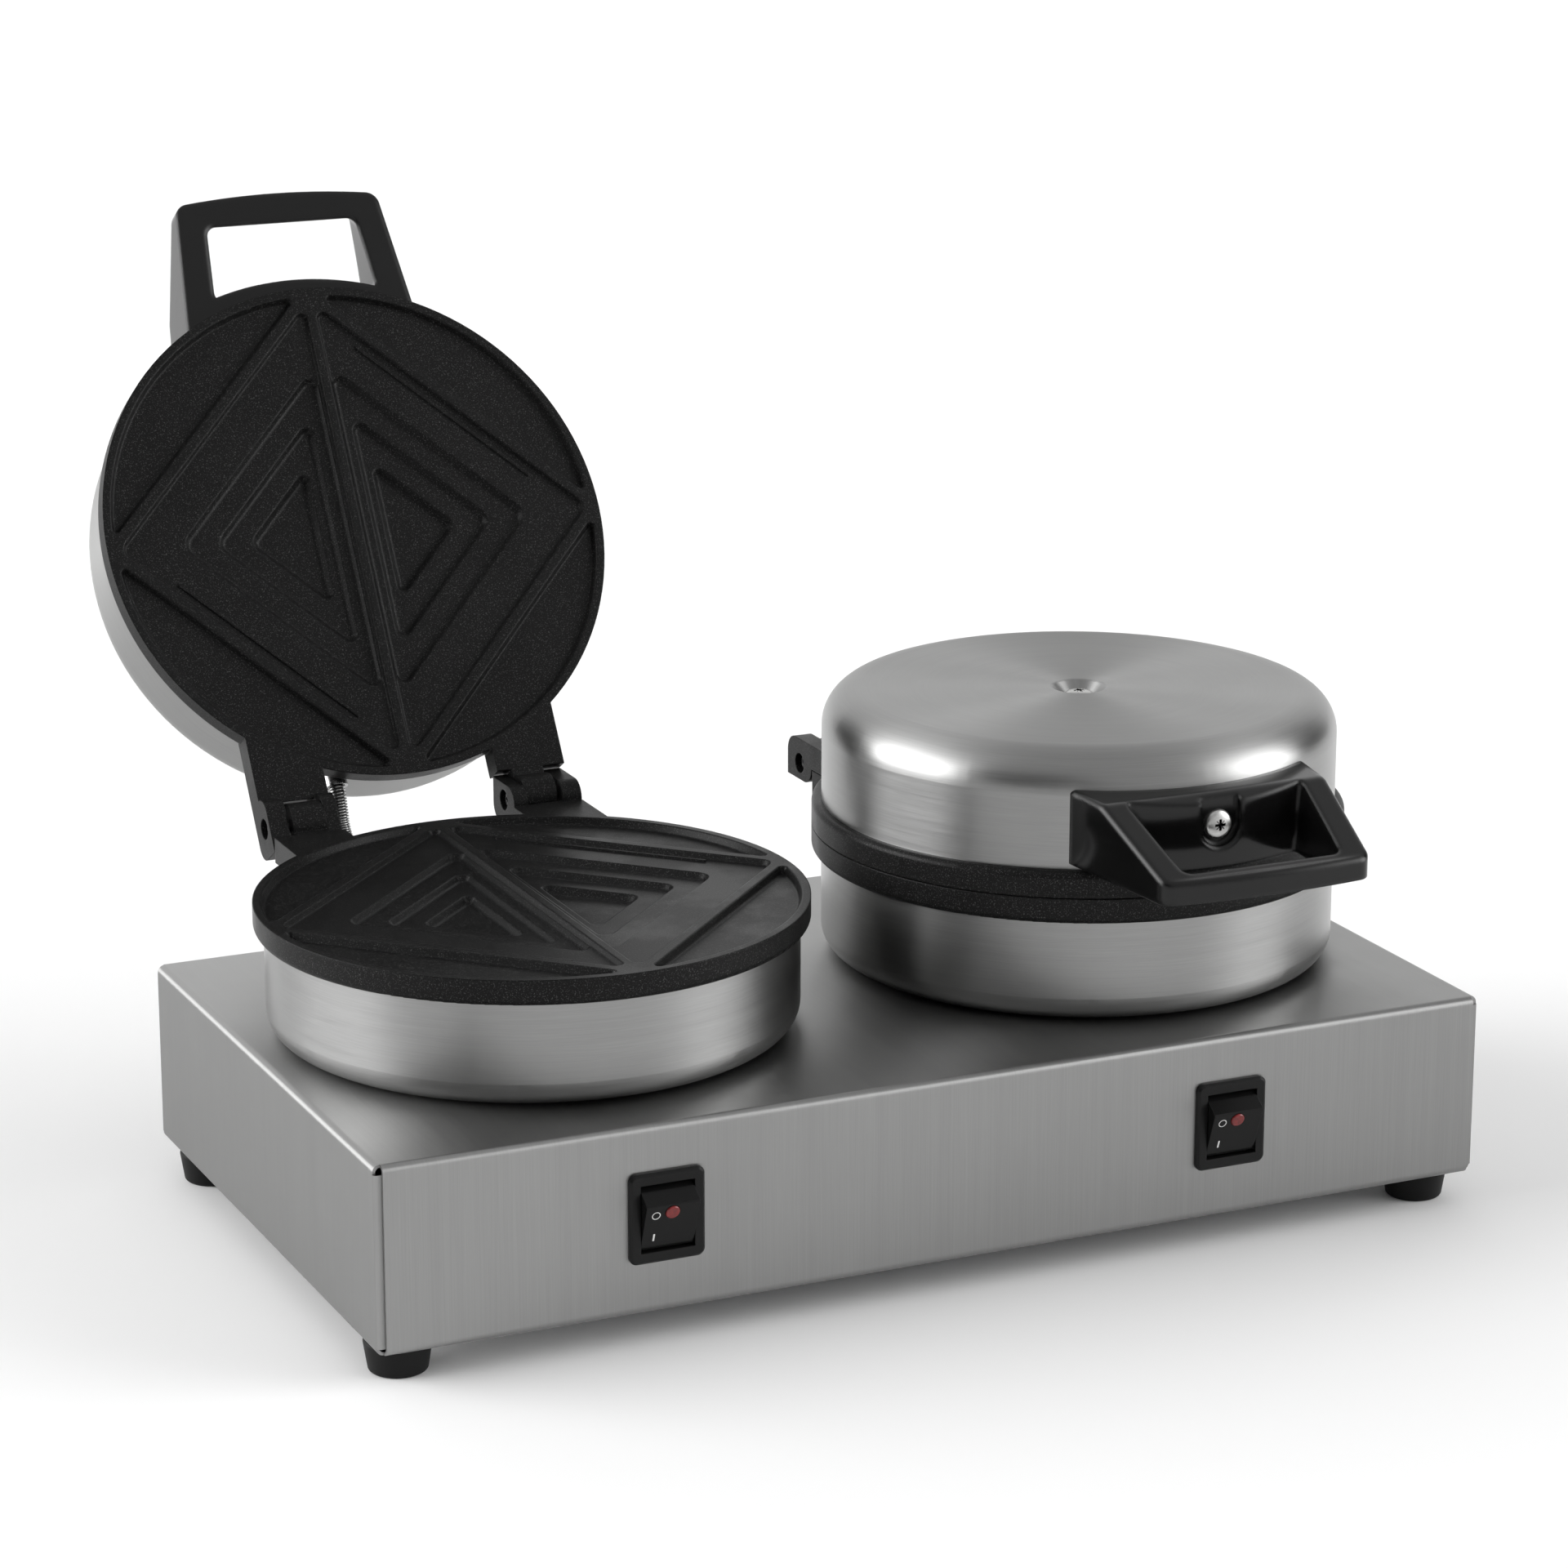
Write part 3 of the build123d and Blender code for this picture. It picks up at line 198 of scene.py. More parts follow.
def newTree(name, kind, inputs, outputs):
    tree = bpy.data.node_groups.new(name, kind)
    for label, socketKind, value in inputs:
        socket = tree.interface.new_socket(label, in_out="INPUT", socket_type=socketKind)
        if value is not None:
            socket.default_value = value
    for label, socketKind in outputs:
        tree.interface.new_socket(label, in_out="OUTPUT", socket_type=socketKind)
    start = tree.nodes.new("NodeGroupInput").outputs
    end = tree.nodes.new("NodeGroupOutput").inputs
    return tree, start, end


def useGroup(tree, group, values):
    node = addNode(tree, "ShaderNodeGroup", node_tree=group)
    fillInputs(tree, node, values)
    return node.outputs


brushing = {
    "linesPerMetre": 2200.0,
    "fine": {"Detail": 2.0, "Roughness": 0.6},
    "fineShare": 0.55,
    "broad": {"Detail": 3.0, "Roughness": 0.65},
    "broadShare": 0.45,
    # Scale of the broad noise for each line of the fine one
    "sheetBroad": 0.12,
    "turnedBroad": 0.10,
    "sheetStretch": 0.012,
    "turnedStreaks": 0.0022,
    # Share of the normal along X from which a face is an end wall
    "endWallFrom": 0.7,
}


# Lines of a brushed finish from two noises: the fine one alone, and both together
def grainNoise(tree, vector, lines, broadScale):
    broad = mathNode(tree, "MULTIPLY", lines, broadScale)
    sharp = addNode(tree, "ShaderNodeTexNoise",
                    {"Vector": vector, "Scale": lines, **brushing["fine"]}).outputs[0]
    wide = addNode(tree, "ShaderNodeTexNoise",
                   {"Vector": vector, "Scale": broad, **brushing["broad"]}).outputs[0]
    sharpPart = mathNode(tree, "MULTIPLY", sharp, brushing["fineShare"])
    widePart = mathNode(tree, "MULTIPLY", wide, brushing["broadShare"])
    return sharp, mathNode(tree, "ADD", sharpPart, widePart)


# 1 on the walls that look along X, and 0 elsewhere
def endWallMask(tree, normal):
    facing = addNode(tree, "ShaderNodeSeparateXYZ", {0: normal}).outputs["X"]
    return mathNode(tree, "GREATER_THAN", mathNode(tree, "ABSOLUTE", facing), brushing["endWallFrom"])


# Straight grain: along Y on top, upright on the walls
def makeSheetGrain():
    tree, start, end = newTree(
        "sheetGrain", "ShaderNodeTree",
        [("Vector", "NodeSocketVector", None), ("Normal", "NodeSocketVector", None),
         ("Lines per metre", "NodeSocketFloat", brushing["linesPerMetre"]),
         ("Stretch", "NodeSocketFloat", brushing["sheetStretch"])],
        [("Tone", "NodeSocketFloat"), ("Height", "NodeSocketFloat")])
    place = addNode(tree, "ShaderNodeSeparateXYZ", {0: start["Vector"]}).outputs
    endWall = endWallMask(tree, start["Normal"])
    across = addNode(tree, "ShaderNodeMix", {"Factor": endWall, "A": place["X"], "B": place["Y"]}).outputs[0]
    along = addNode(tree, "ShaderNodeMix", {"Factor": endWall, "A": place["Y"], "B": place["X"]}).outputs[0]
    vector = addNode(tree, "ShaderNodeCombineXYZ", {
        0: across,
        1: mathNode(tree, "MULTIPLY", along, start["Stretch"]),
        2: mathNode(tree, "MULTIPLY", place["Z"], start["Stretch"]),
    }).outputs[0]
    sharp, both = grainNoise(tree, vector, start["Lines per metre"], brushing["sheetBroad"])
    tree.links.new(both, end["Tone"])
    tree.links.new(sharp, end["Height"])
    return tree


# Grain that runs round the Z axis of the given coordinates
def makeTurnedGrain():
    tree, start, end = newTree(
        "turnedGrain", "ShaderNodeTree",
        [("Vector", "NodeSocketVector", None),
         ("Lines per metre", "NodeSocketFloat", brushing["linesPerMetre"]),
         ("Streaks", "NodeSocketFloat", brushing["turnedStreaks"])],
        [("Tone", "NodeSocketFloat"), ("Height", "NodeSocketFloat")])
    flat = vectorNode(tree, "MULTIPLY", start["Vector"], (1.0, 1.0, 0.0)).outputs[0]
    reach = vectorNode(tree, "LENGTH", flat).outputs["Value"]
    unit = vectorNode(tree, "NORMALIZE", flat).outputs[0]
    around = addNode(tree, "ShaderNodeSeparateXYZ", {0: scaleVector(tree, unit, start["Streaks"])}).outputs
    height = addNode(tree, "ShaderNodeSeparateXYZ", {0: start["Vector"]}).outputs["Z"]
    level = mathNode(tree, "SUBTRACT", height, reach)
    vector = addNode(tree, "ShaderNodeCombineXYZ", {0: around["X"], 1: around["Y"], 2: level}).outputs[0]
    sharp, both = grainNoise(tree, vector, start["Lines per metre"], brushing["turnedBroad"])
    tree.links.new(both, end["Tone"])
    tree.links.new(sharp, end["Height"])
    return tree


sand = {
    "grainsPerMetre": 1900.0,
    "threshold": 0.57,
    "band": 0.12,
    "noise": {"Detail": 2.0, "Roughness": 0.7},
}


# Sandy texture of a coated casting
def makeSpeckle():
    tree, start, end = newTree(
        "speckle", "ShaderNodeTree",
        [("Vector", "NodeSocketVector", None),
         ("Grains per metre", "NodeSocketFloat", sand["grainsPerMetre"]),
         ("Threshold", "NodeSocketFloat", sand["threshold"])],
        [("Mask", "NodeSocketFloat"), ("Height", "NodeSocketFloat")])
    grains = addNode(tree, "ShaderNodeTexNoise", {
        "Vector": start["Vector"], "Scale": start["Grains per metre"], **sand["noise"]}).outputs[0]
    top = mathNode(tree, "ADD", start["Threshold"], sand["band"])
    mask = addNode(tree, "ShaderNodeMapRange", {0: grains, 1: start["Threshold"], 2: top}).outputs[0]
    tree.links.new(mask, end["Mask"])
    tree.links.new(grains, end["Height"])
    return tree


wiping = {
    "patchesPerMetre": 14.0,
    "amount": 0.5,
    "noise": {"Detail": 5.0, "Roughness": 0.6},
    "from": 0.35,
    "to": 0.7,
}


# Faint wipe marks and unevenness of a used, clean surface
def makeHandling():
    tree, start, end = newTree(
        "handling", "ShaderNodeTree",
        [("Vector", "NodeSocketVector", None),
         ("Patches per metre", "NodeSocketFloat", wiping["patchesPerMetre"]),
         ("Amount", "NodeSocketFloat", wiping["amount"])],
        [("Mask", "NodeSocketFloat")])
    cloud = addNode(tree, "ShaderNodeTexNoise", {
        "Vector": start["Vector"], "Scale": start["Patches per metre"], **wiping["noise"]}).outputs[0]
    soft = addNode(tree, "ShaderNodeMapRange", {0: cloud, 1: wiping["from"], 2: wiping["to"]}).outputs[0]
    tree.links.new(mathNode(tree, "MULTIPLY", soft, start["Amount"]), end["Mask"])
    return tree


sheetGrain = makeSheetGrain()
turnedGrain = makeTurnedGrain()
speckle = makeSpeckle()
handling = makeHandling()
print("groups: sheetGrain, turnedGrain, speckle, handling")


# Materials

shading = {
    "noiseSpan": (0.3, 0.7),  # where most of a noise lies, drawn out to the whole of a range
    "edgeSamples": 6,
}


def newMaterial(name, metallic=0.0):
    material = bpy.data.materials.new(name)
    material.use_nodes = True
    tree = material.node_tree
    tree.nodes.clear()
    shader = addNode(tree, "ShaderNodeBsdfPrincipled", {"Metallic": metallic})
    addNode(tree, "ShaderNodeOutputMaterial", {"Surface": shader.outputs[0]})
    coords = addNode(tree, "ShaderNodeTexCoord")
    return material, tree, shader.inputs, coords.outputs


def spread(tree, value, low=0.0, high=1.0):
    start, stop = shading["noiseSpan"]
    return addNode(tree, "ShaderNodeMapRange", {0: value, 1: start, 2: stop, 3: low, 4: high}).outputs[0]


def bump(tree, height, strength, distance, normal=None):
    values = {"Height": height, "Strength": strength, "Distance": distance}
    if normal:
        values["Normal"] = normal
    return addNode(tree, "ShaderNodeBump", values).outputs[0]


def softEdges(tree, radius):
    return addNode(tree, "ShaderNodeBevel", {"Radius": radius}, samples=shading["edgeSamples"]).outputs[0]


def cloudNoise(tree, coords, scale, detail=2.0):
    values = {"Vector": coords["Object"], "Scale": scale, "Detail": detail}
    return addNode(tree, "ShaderNodeTexNoise", values).outputs[0]


# Colour and roughness that both follow one noise
def toneAndDull(tree, shader, tone, tones, roughness):
    tree.links.new(blendColour(tree, spread(tree, tone), *tones), shader["Base Color"])
    tree.links.new(spread(tree, tone, *roughness), shader["Roughness"])


def toWorld(tree, vector):
    return addNode(tree, "ShaderNodeVectorTransform", {0: vector},
                   vector_type="VECTOR", convert_from="OBJECT", convert_to="WORLD").outputs[0]


steel = {
    "sheet": {"tones": ((0.285, 0.285, 0.283), (0.325, 0.325, 0.322)), "roughness": (0.34, 0.40),
              "anisotropy": 0.80},
    "spun": {"tones": ((0.28, 0.28, 0.278), (0.33, 0.33, 0.327)), "roughness": (0.28, 0.34),
             "anisotropy": 0.68},
    "wiped": 0.05,
    "bump": 0.08,
    "lineDepth": 0.00002,
    # Bend and flat top of a drawn cover: where they start, by the upright share of the normal,
    # and how much duller the top is
    "flatFrom": 0.30,
    "flatTo": 0.98,
    "flatRoughness": 0.16,
}


def finishSteel(tree, shader, coords, grain, finish, flat=None):
    tree.links.new(blendColour(tree, spread(tree, grain["Tone"]), *finish["tones"]), shader["Base Color"])
    wiped = useGroup(tree, handling, {"Vector": coords["Object"], "Amount": steel["wiped"]})["Mask"]
    rough = mathNode(tree, "ADD", spread(tree, grain["Tone"], *finish["roughness"]), wiped)
    if flat:
        rough = mathNode(tree, "ADD", rough, mathNode(tree, "MULTIPLY", flat, steel["flatRoughness"]))
    tree.links.new(rough, shader["Roughness"])
    shader["Anisotropic"].default_value = finish["anisotropy"]
    tree.links.new(bump(tree, grain["Height"], steel["bump"], steel["lineDepth"]), shader["Normal"])


def brushedSheet():
    material, tree, shader, coords = newMaterial("brushedSheet", metallic=1.0)
    grain = useGroup(tree, sheetGrain, {"Vector": coords["Object"], "Normal": coords["Normal"]})
    finishSteel(tree, shader, coords, grain, steel["sheet"])
    endWall = endWallMask(tree, coords["Normal"])
    otherWall = mathNode(tree, "SUBTRACT", 1.0, endWall)
    across = addNode(tree, "ShaderNodeCombineXYZ", {0: otherWall, 1: endWall}).outputs[0]
    tree.links.new(toWorld(tree, across), shader["Tangent"])
    return material


# Drawn and spun cover whose grain runs round the head's axis
def spunSteel(name, matrix):
    material, tree, shader, coords = newMaterial(name, metallic=1.0)
    centre = matrix.to_translation()
    axis = tuple(matrix.to_quaternion() @ Vector((0, 0, 1)))
    own = addNode(tree, "ShaderNodeMapping", {
        "Vector": coords["Object"], "Location": centre, "Rotation": matrix.to_euler(),
    }, vector_type="TEXTURE").outputs[0]
    grain = useGroup(tree, turnedGrain, {"Vector": own})
    upright = vectorNode(tree, "DOT_PRODUCT", axis, coords["Normal"]).outputs["Value"]
    flat = addNode(tree, "ShaderNodeMapRange", {0: upright, 1: steel["flatFrom"], 2: steel["flatTo"]},
                   interpolation_type="SMOOTHSTEP").outputs[0]
    finishSteel(tree, shader, coords, grain, steel["spun"], flat)
    out = vectorNode(tree, "SUBTRACT", coords["Object"], tuple(centre)).outputs[0]
    circling = vectorNode(tree, "CROSS_PRODUCT", axis, out).outputs[0]
    across = vectorNode(tree, "CROSS_PRODUCT", circling, coords["Normal"]).outputs[0]
    unit = vectorNode(tree, "NORMALIZE", across).outputs[0]
    tree.links.new(toWorld(tree, unit), shader["Tangent"])
    return material


mill = {
    "tones": ((0.30, 0.30, 0.30), (0.42, 0.42, 0.42)),
    "roughness": (0.32, 0.46),
    "linesPerMetre": 500.0,
    "stretch": 0.3,
}


# Plain rolled sheet out of sight
def millSheet():
    material, tree, shader, coords = newMaterial("mill", metallic=1.0)
    grain = useGroup(tree, sheetGrain, {
        "Vector": coords["Object"], "Normal": coords["Normal"], "Stretch": mill["stretch"],
        "Lines per metre": mill["linesPerMetre"]})
    toneAndDull(tree, shader, grain["Tone"], mill["tones"], mill["roughness"])
    return material


coating = {
    "colour": (0.0060, 0.0060, 0.0060),
    "grain": (0.058, 0.058, 0.057),
    "roughness": (0.33, 0.41),
    "wiped": 1.0,
    "patchesPerMetre": 30.0,
    "shine": 0.11,
    "edge": 0.0008,
    "bump": 0.30,
    "grainHeight": 0.00005,
}


def coatedCasting():
    material, tree, shader, coords = newMaterial("coatedCasting")
    grains = useGroup(tree, speckle, {"Vector": coords["Object"]})
    colour = blendColour(tree, grains["Mask"], coating["colour"], coating["grain"])
    tree.links.new(colour, shader["Base Color"])
    wiped = useGroup(tree, handling, {
        "Vector": coords["Object"], "Amount": coating["wiped"],
        "Patches per metre": coating["patchesPerMetre"]})["Mask"]
    low, high = coating["roughness"]
    tree.links.new(spread(tree, wiped, high, low), shader["Roughness"])
    shader["Specular IOR Level"].default_value = coating["shine"]
    edges = softEdges(tree, coating["edge"])
    normal = bump(tree, grains["Height"], coating["bump"], coating["grainHeight"], edges)
    tree.links.new(normal, shader["Normal"])
    return material


plastics = {
    "handle": {"name": "glossHandle", "colour": (0.0030, 0.0030, 0.0030), "roughness": 0.11,
               "edge": 0.0030, "shine": 0.34, "waviness": 0.05},
    "bezel": {"name": "satinBezel", "colour": (0.006, 0.006, 0.006), "roughness": 0.32,
              "edge": 0.0005, "shine": 0.18},
    "rocker": {"name": "glossRocker", "colour": (0.005, 0.005, 0.005), "roughness": 0.22,
               "edge": 0.0005, "shine": 0.18},
    "foot": {"name": "footRubber", "colour": (0.007, 0.007, 0.007), "roughness": 0.55,
             "edge": 0.0006, "shine": 0.15},
    "gland": {"name": "glandNylon", "colour": (0.012, 0.012, 0.012), "roughness": 0.42,
              "edge": 0.0006, "shine": 0.25},
    "block": {"name": "naturalNylon", "colour": (0.62, 0.60, 0.55), "roughness": 0.45,
              "edge": 0.0005, "shine": 0.45},
}

# What wiping and moulding do to each of them
moulding = {
    "patchesPerMetre": 55.0,
    "paler": 1.5,
    "duller": 0.07,
    "wavesPerMetre": 45.0,
    "waveDetail": 1.0,
    "waveDepth": 0.001,
}


def mouldedPlastic(name, colour, roughness, edge, shine, waviness=0.0):
    material, tree, shader, coords = newMaterial(name)
    shader["Specular IOR Level"].default_value = shine
    wiped = useGroup(tree, handling, {
        "Vector": coords["Object"], "Patches per metre": moulding["patchesPerMetre"]})["Mask"]
    lighter = tuple(channel * moulding["paler"] for channel in colour)
    tree.links.new(blendColour(tree, wiped, colour, lighter), shader["Base Color"])
    tree.links.new(spread(tree, wiped, roughness, roughness + moulding["duller"]), shader["Roughness"])
    normal = softEdges(tree, edge)
    if waviness:
        wave = cloudNoise(tree, coords, moulding["wavesPerMetre"], moulding["waveDetail"])
        normal = bump(tree, wave, waviness, moulding["waveDepth"], normal)
    tree.links.new(normal, shader["Normal"])
    return material


metals = {
    "terminal": {"name": "tinnedBrass", "tones": ((0.52, 0.45, 0.28), (0.66, 0.60, 0.42)),
                 "roughness": (0.21, 0.39)},
    "pin": {"name": "hollowPin", "tones": ((0.10, 0.10, 0.10), (0.26, 0.26, 0.26)),
            "roughness": (0.21, 0.39), "scale": 500.0, "edge": 0.0003},
    "element": {"name": "oxidisedTube", "tones": ((0.08, 0.075, 0.07), (0.20, 0.19, 0.18)),
                "roughness": (0.322, 0.598)},
    "wire": {"name": "woundSteel", "tones": ((0.30, 0.30, 0.30), (0.55, 0.55, 0.545)),
             "roughness": (0.154, 0.286), "scale": 600.0},
    "ferrule": {"name": "turnedFerrule", "tones": ((0.30, 0.30, 0.30), (0.45, 0.45, 0.45)),
                "roughness": (0.182, 0.338), "scale": 500.0, "edge": 0.0004},
}
metalDetail = 4.0


def brightMetal(name, tones, roughness, scale=260.0, edge=0.0):
    material, tree, shader, coords = newMaterial(name, metallic=1.0)
    toneAndDull(tree, shader, cloudNoise(tree, coords, scale, metalDetail), tones, roughness)
    if edge:
        tree.links.new(softEdges(tree, edge), shader["Normal"])
    return material


plating = {
    "tones": ((0.42, 0.42, 0.41), (0.60, 0.60, 0.59)),
    "roughness": (0.24, 0.44),
    "scale": 400.0,
    # Colour of the painted shade down in the recess
    "recess": (0.03, 0.03, 0.03),
    # How far round a spot its openness is measured, and the openness at which the painted shade is full or
    # gone
    "reach": 0.0022,
    "samples": 8,
    "dark": 0.45,
    "clear": 0.85,
}


# Plated screw, with painted shade that darkens it down in its recess
def platedScrew():
    material, tree, shader, coords = newMaterial("platedScrew", metallic=1.0)
    tone = cloudNoise(tree, coords, plating["scale"], metalDetail)
    # Ambient occlusion paints shade into the colour where the screw is hemmed in
    openness = addNode(tree, "ShaderNodeAmbientOcclusion", {"Distance": plating["reach"]},
                       samples=plating["samples"], only_local=True).outputs["AO"]
    unshaded = addNode(tree, "ShaderNodeMapRange", {0: openness, 1: plating["dark"], 2: plating["clear"]})
    plated = blendColour(tree, spread(tree, tone), *plating["tones"])
    tree.links.new(blendColour(tree, unshaded.outputs[0], plating["recess"], plated), shader["Base Color"])
    tree.links.new(spread(tree, tone, *plating["roughness"]), shader["Roughness"])
    return material


lens = {
    "tones": ((0.10, 0.003, 0.003), (0.20, 0.006, 0.006)),
    "roughness": (0.10, 0.22),
    "scale": 700.0,
    "coat": 0.25,
}


def lampLens():
    material, tree, shader, coords = newMaterial("lampLens")
    toneAndDull(tree, shader, cloudNoise(tree, coords, lens["scale"]), lens["tones"], lens["roughness"])
    shader["Coat Weight"].default_value = lens["coat"]
    return material


weaving = {
    # The weave's tones are its own, made very dark to stand as painted shade between the wire's turns
    "tones": ((0.05, 0.05, 0.048), (0.015, 0.015, 0.015)),
    "roughness": (0.65, 0.85),
    "scale": 900.0,
    "bump": 0.5,
    "depth": 0.0002,
}


def wovenSleeve():
    material, tree, shader, coords = newMaterial("wovenSleeve")
    weave = addNode(tree, "ShaderNodeTexVoronoi",
                    {"Vector": coords["Object"], "Scale": weaving["scale"]}).outputs["Distance"]
    tree.links.new(blendColour(tree, weave, *weaving["tones"]), shader["Base Color"])
    tree.links.new(spread(tree, weave, *weaving["roughness"]), shader["Roughness"])
    tree.links.new(bump(tree, weave, weaving["bump"], weaving["depth"]), shader["Normal"])
    return material


paint = {
    "tones": ((0.55, 0.55, 0.54), (0.74, 0.74, 0.73)),
    "roughness": (0.45, 0.65),
    "scale": 1800.0,
}


def paintMark():
    material, tree, shader, coords = newMaterial("paintMark")
    toneAndDull(tree, shader, cloudNoise(tree, coords, paint["scale"]), paint["tones"], paint["roughness"])
    return material


materials = {
    "baseSteel": brushedSheet(),
    "cover": millSheet(),
    "casting": coatedCasting(),
    "screw": platedScrew(),
    "lens": lampLens(),
    "sleeve": wovenSleeve(),
    "mark": paintMark(),
}
for key, settings in plastics.items():
    materials[key] = mouldedPlastic(**settings)
for key, settings in metals.items():
    materials[key] = brightMetal(**settings)
for side in layout["heads"]:
    materials[f"lower_{side}"] = spunSteel(f"spunLower_{side}", headMatrix(side))
    materials[f"lid_{side}"] = spunSteel(f"spunLid_{side}", lidMatrix(side))

nodeFinish = {
    "base_housing": "baseSteel", "base_plate": "cover", "base_plate_screws": "screw",
    "foot_fasteners": "screw", "cable_gland": "gland", "gland_lock_nut": "gland",
    "terminal_block": "block", "earth_stud": "terminal",
}
for corner in ("front_left", "front_right", "back_left", "back_right"):
    nodeFinish[f"foot_{corner}"] = "foot"

# Nodes that each side has, by their finish
sideFinish = {
    "bezel": ["switch_body"],
    "rocker": ["rocker"],
    "lens": ["switch_lens"],
    "terminal": ["switch_tabs"],
    "casting": ["lower_plate", "upper_plate"],
    "element": ["lower_element", "upper_element"],
    "cover": ["lower_reflector", "upper_reflector"],
    "screw": ["lower_fixing", "lid_screw", "handle_screw"],
    "block": ["thermostat"],
    "pin": ["hinge_pin_base", "hinge_pin_lid", "handle_nut"],
    "handle": ["handle"],
    "ferrule": ["conduit_ferrule_lower", "conduit_ferrule_upper"],
    "wire": ["conduit"],
    "sleeve": ["conduit_sleeve"],
}
for side in layout["heads"]:
    nodeFinish[f"lower_shell_{side}"] = f"lower_{side}"
    nodeFinish[f"lid_shell_{side}"] = f"lid_{side}"
    for finish, names in sideFinish.items():
        for name in names:
            nodeFinish[f"{name}_{side}"] = finish
for node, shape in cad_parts.items():
    for holder in shape.material_slots:
        holder.material = materials[nodeFinish[node]]
print("materials:", len(materials), "finishes on", len(nodeFinish), "nodes")


# Pieces made with Geometry Nodes

def linkObject(name, mesh):
    piece = bpy.data.objects.new(name, mesh)
    bpy.context.collection.objects.link(piece)
    return piece


def addPiece(name, mesh, body):
    piece = linkObject(name, mesh)
    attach(piece, body)
    return piece


# The plain mesh that a tree makes of a host mesh; values are given by socket name
def growMesh(name, host, tree, values):
    holder = linkObject(name + "Host", host)
    modifier = holder.modifiers.new(tree.name, "NODES")
    modifier.node_group = tree
    for item in tree.interface.items_tree:
        if item.item_type == "SOCKET" and item.in_out == "INPUT" and item.name in values:
            modifier[item.identifier] = values[item.name]
    graph = bpy.context.evaluated_depsgraph_get()
    mesh = bpy.data.meshes.new_from_object(
        holder.evaluated_get(graph), preserve_all_data_layers=True, depsgraph=graph)
    mesh.name = name
    holder.modifiers.remove(modifier)
    bpy.data.objects.remove(holder)
    return mesh


# The path of a tree as a curve, and its length
def pathCurve(tree, start):
    path = addNode(tree, "GeometryNodeMeshToCurve", {"Mesh": start["Path"]}).outputs[0]
    return path, addNode(tree, "GeometryNodeCurveLength", {0: path}).outputs[0]


def sweepRound(tree, curve, sides, radius):
    ring = addNode(tree, "GeometryNodeCurvePrimitiveCircle",
                   {"Resolution": sides, "Radius": radius}).outputs[0]
    return addNode(tree, "GeometryNodeCurveToMesh",
                   {"Curve": curve, "Profile Curve": ring, "Fill Caps": True}).outputs[0]


def finishSweep(tree, start, end, mesh):
    smooth = addNode(tree, "GeometryNodeSetShadeSmooth", {0: mesh}).outputs[0]
    real = addNode(tree, "GeometryNodeRealizeInstances", {0: smooth}).outputs[0]
    dressed = addNode(tree, "GeometryNodeSetMaterial", {"Geometry": real, "Material": start["Finish"]})
    tree.links.new(dressed.outputs[0], end[0])


# Wire wound round a path in a plane across X
def makeWoundWire():
    tree, start, end = newTree(
        "woundWire", "GeometryNodeTree",
        [("Path", "NodeSocketGeometry", None), ("Coil Radius", "NodeSocketFloat", 0.0031),
         ("Wire Radius", "NodeSocketFloat", 0.0004), ("Pitch", "NodeSocketFloat", 0.0012),
         ("Steps per Turn", "NodeSocketInt", 12), ("Wire Sides", "NodeSocketInt", 6),
         ("Finish", "NodeSocketMaterial", None)],
        [("Wire", "NodeSocketGeometry")])
    path, length = pathCurve(tree, start)
    turns = mathNode(tree, "DIVIDE", length, start["Pitch"])
    count = mathNode(tree, "MULTIPLY", turns, start["Steps per Turn"])
    fine = addNode(tree, "GeometryNodeResampleCurve", {"Curve": path, "Count": count}).outputs[0]
    along = addNode(tree, "GeometryNodeSplineParameter").outputs["Length"]
    angle = mathNode(tree, "MULTIPLY", mathNode(tree, "DIVIDE", along, start["Pitch"]), 2 * pi)
    tangent = addNode(tree, "GeometryNodeInputTangent").outputs[0]
    square = vectorNode(tree, "CROSS_PRODUCT", tangent, (1.0, 0.0, 0.0)).outputs[0]
    second = vectorNode(tree, "NORMALIZE", square).outputs[0]
    wide = mathNode(tree, "MULTIPLY", mathNode(tree, "COSINE", angle), start["Coil Radius"])
    tall = mathNode(tree, "MULTIPLY", mathNode(tree, "SINE", angle), start["Coil Radius"])
    across = addNode(tree, "ShaderNodeCombineXYZ", {0: wide}).outputs[0]
    offset = vectorNode(tree, "ADD", across, scaleVector(tree, second, tall)).outputs[0]
    coil = addNode(tree, "GeometryNodeSetPosition", {"Geometry": fine, "Offset": offset}).outputs[0]
    finishSweep(tree, start, end, sweepRound(tree, coil, start["Wire Sides"], start["Wire Radius"]))
    return tree


# Round sleeve along a path
def makeSleeve():
    tree, start, end = newTree(
        "roundSleeve", "GeometryNodeTree",
        [("Path", "NodeSocketGeometry", None), ("Radius", "NodeSocketFloat", 0.0026),
         ("Step", "NodeSocketFloat", 0.0012), ("Sides", "NodeSocketInt", 20),
         ("Finish", "NodeSocketMaterial", None)],
        [("Sleeve", "NodeSocketGeometry")])
    path, length = pathCurve(tree, start)
    count = mathNode(tree, "DIVIDE", length, start["Step"])
    fine = addNode(tree, "GeometryNodeResampleCurve", {"Curve": path, "Count": count}).outputs[0]
    finishSweep(tree, start, end, sweepRound(tree, fine, start["Sides"], start["Radius"]))
    return tree


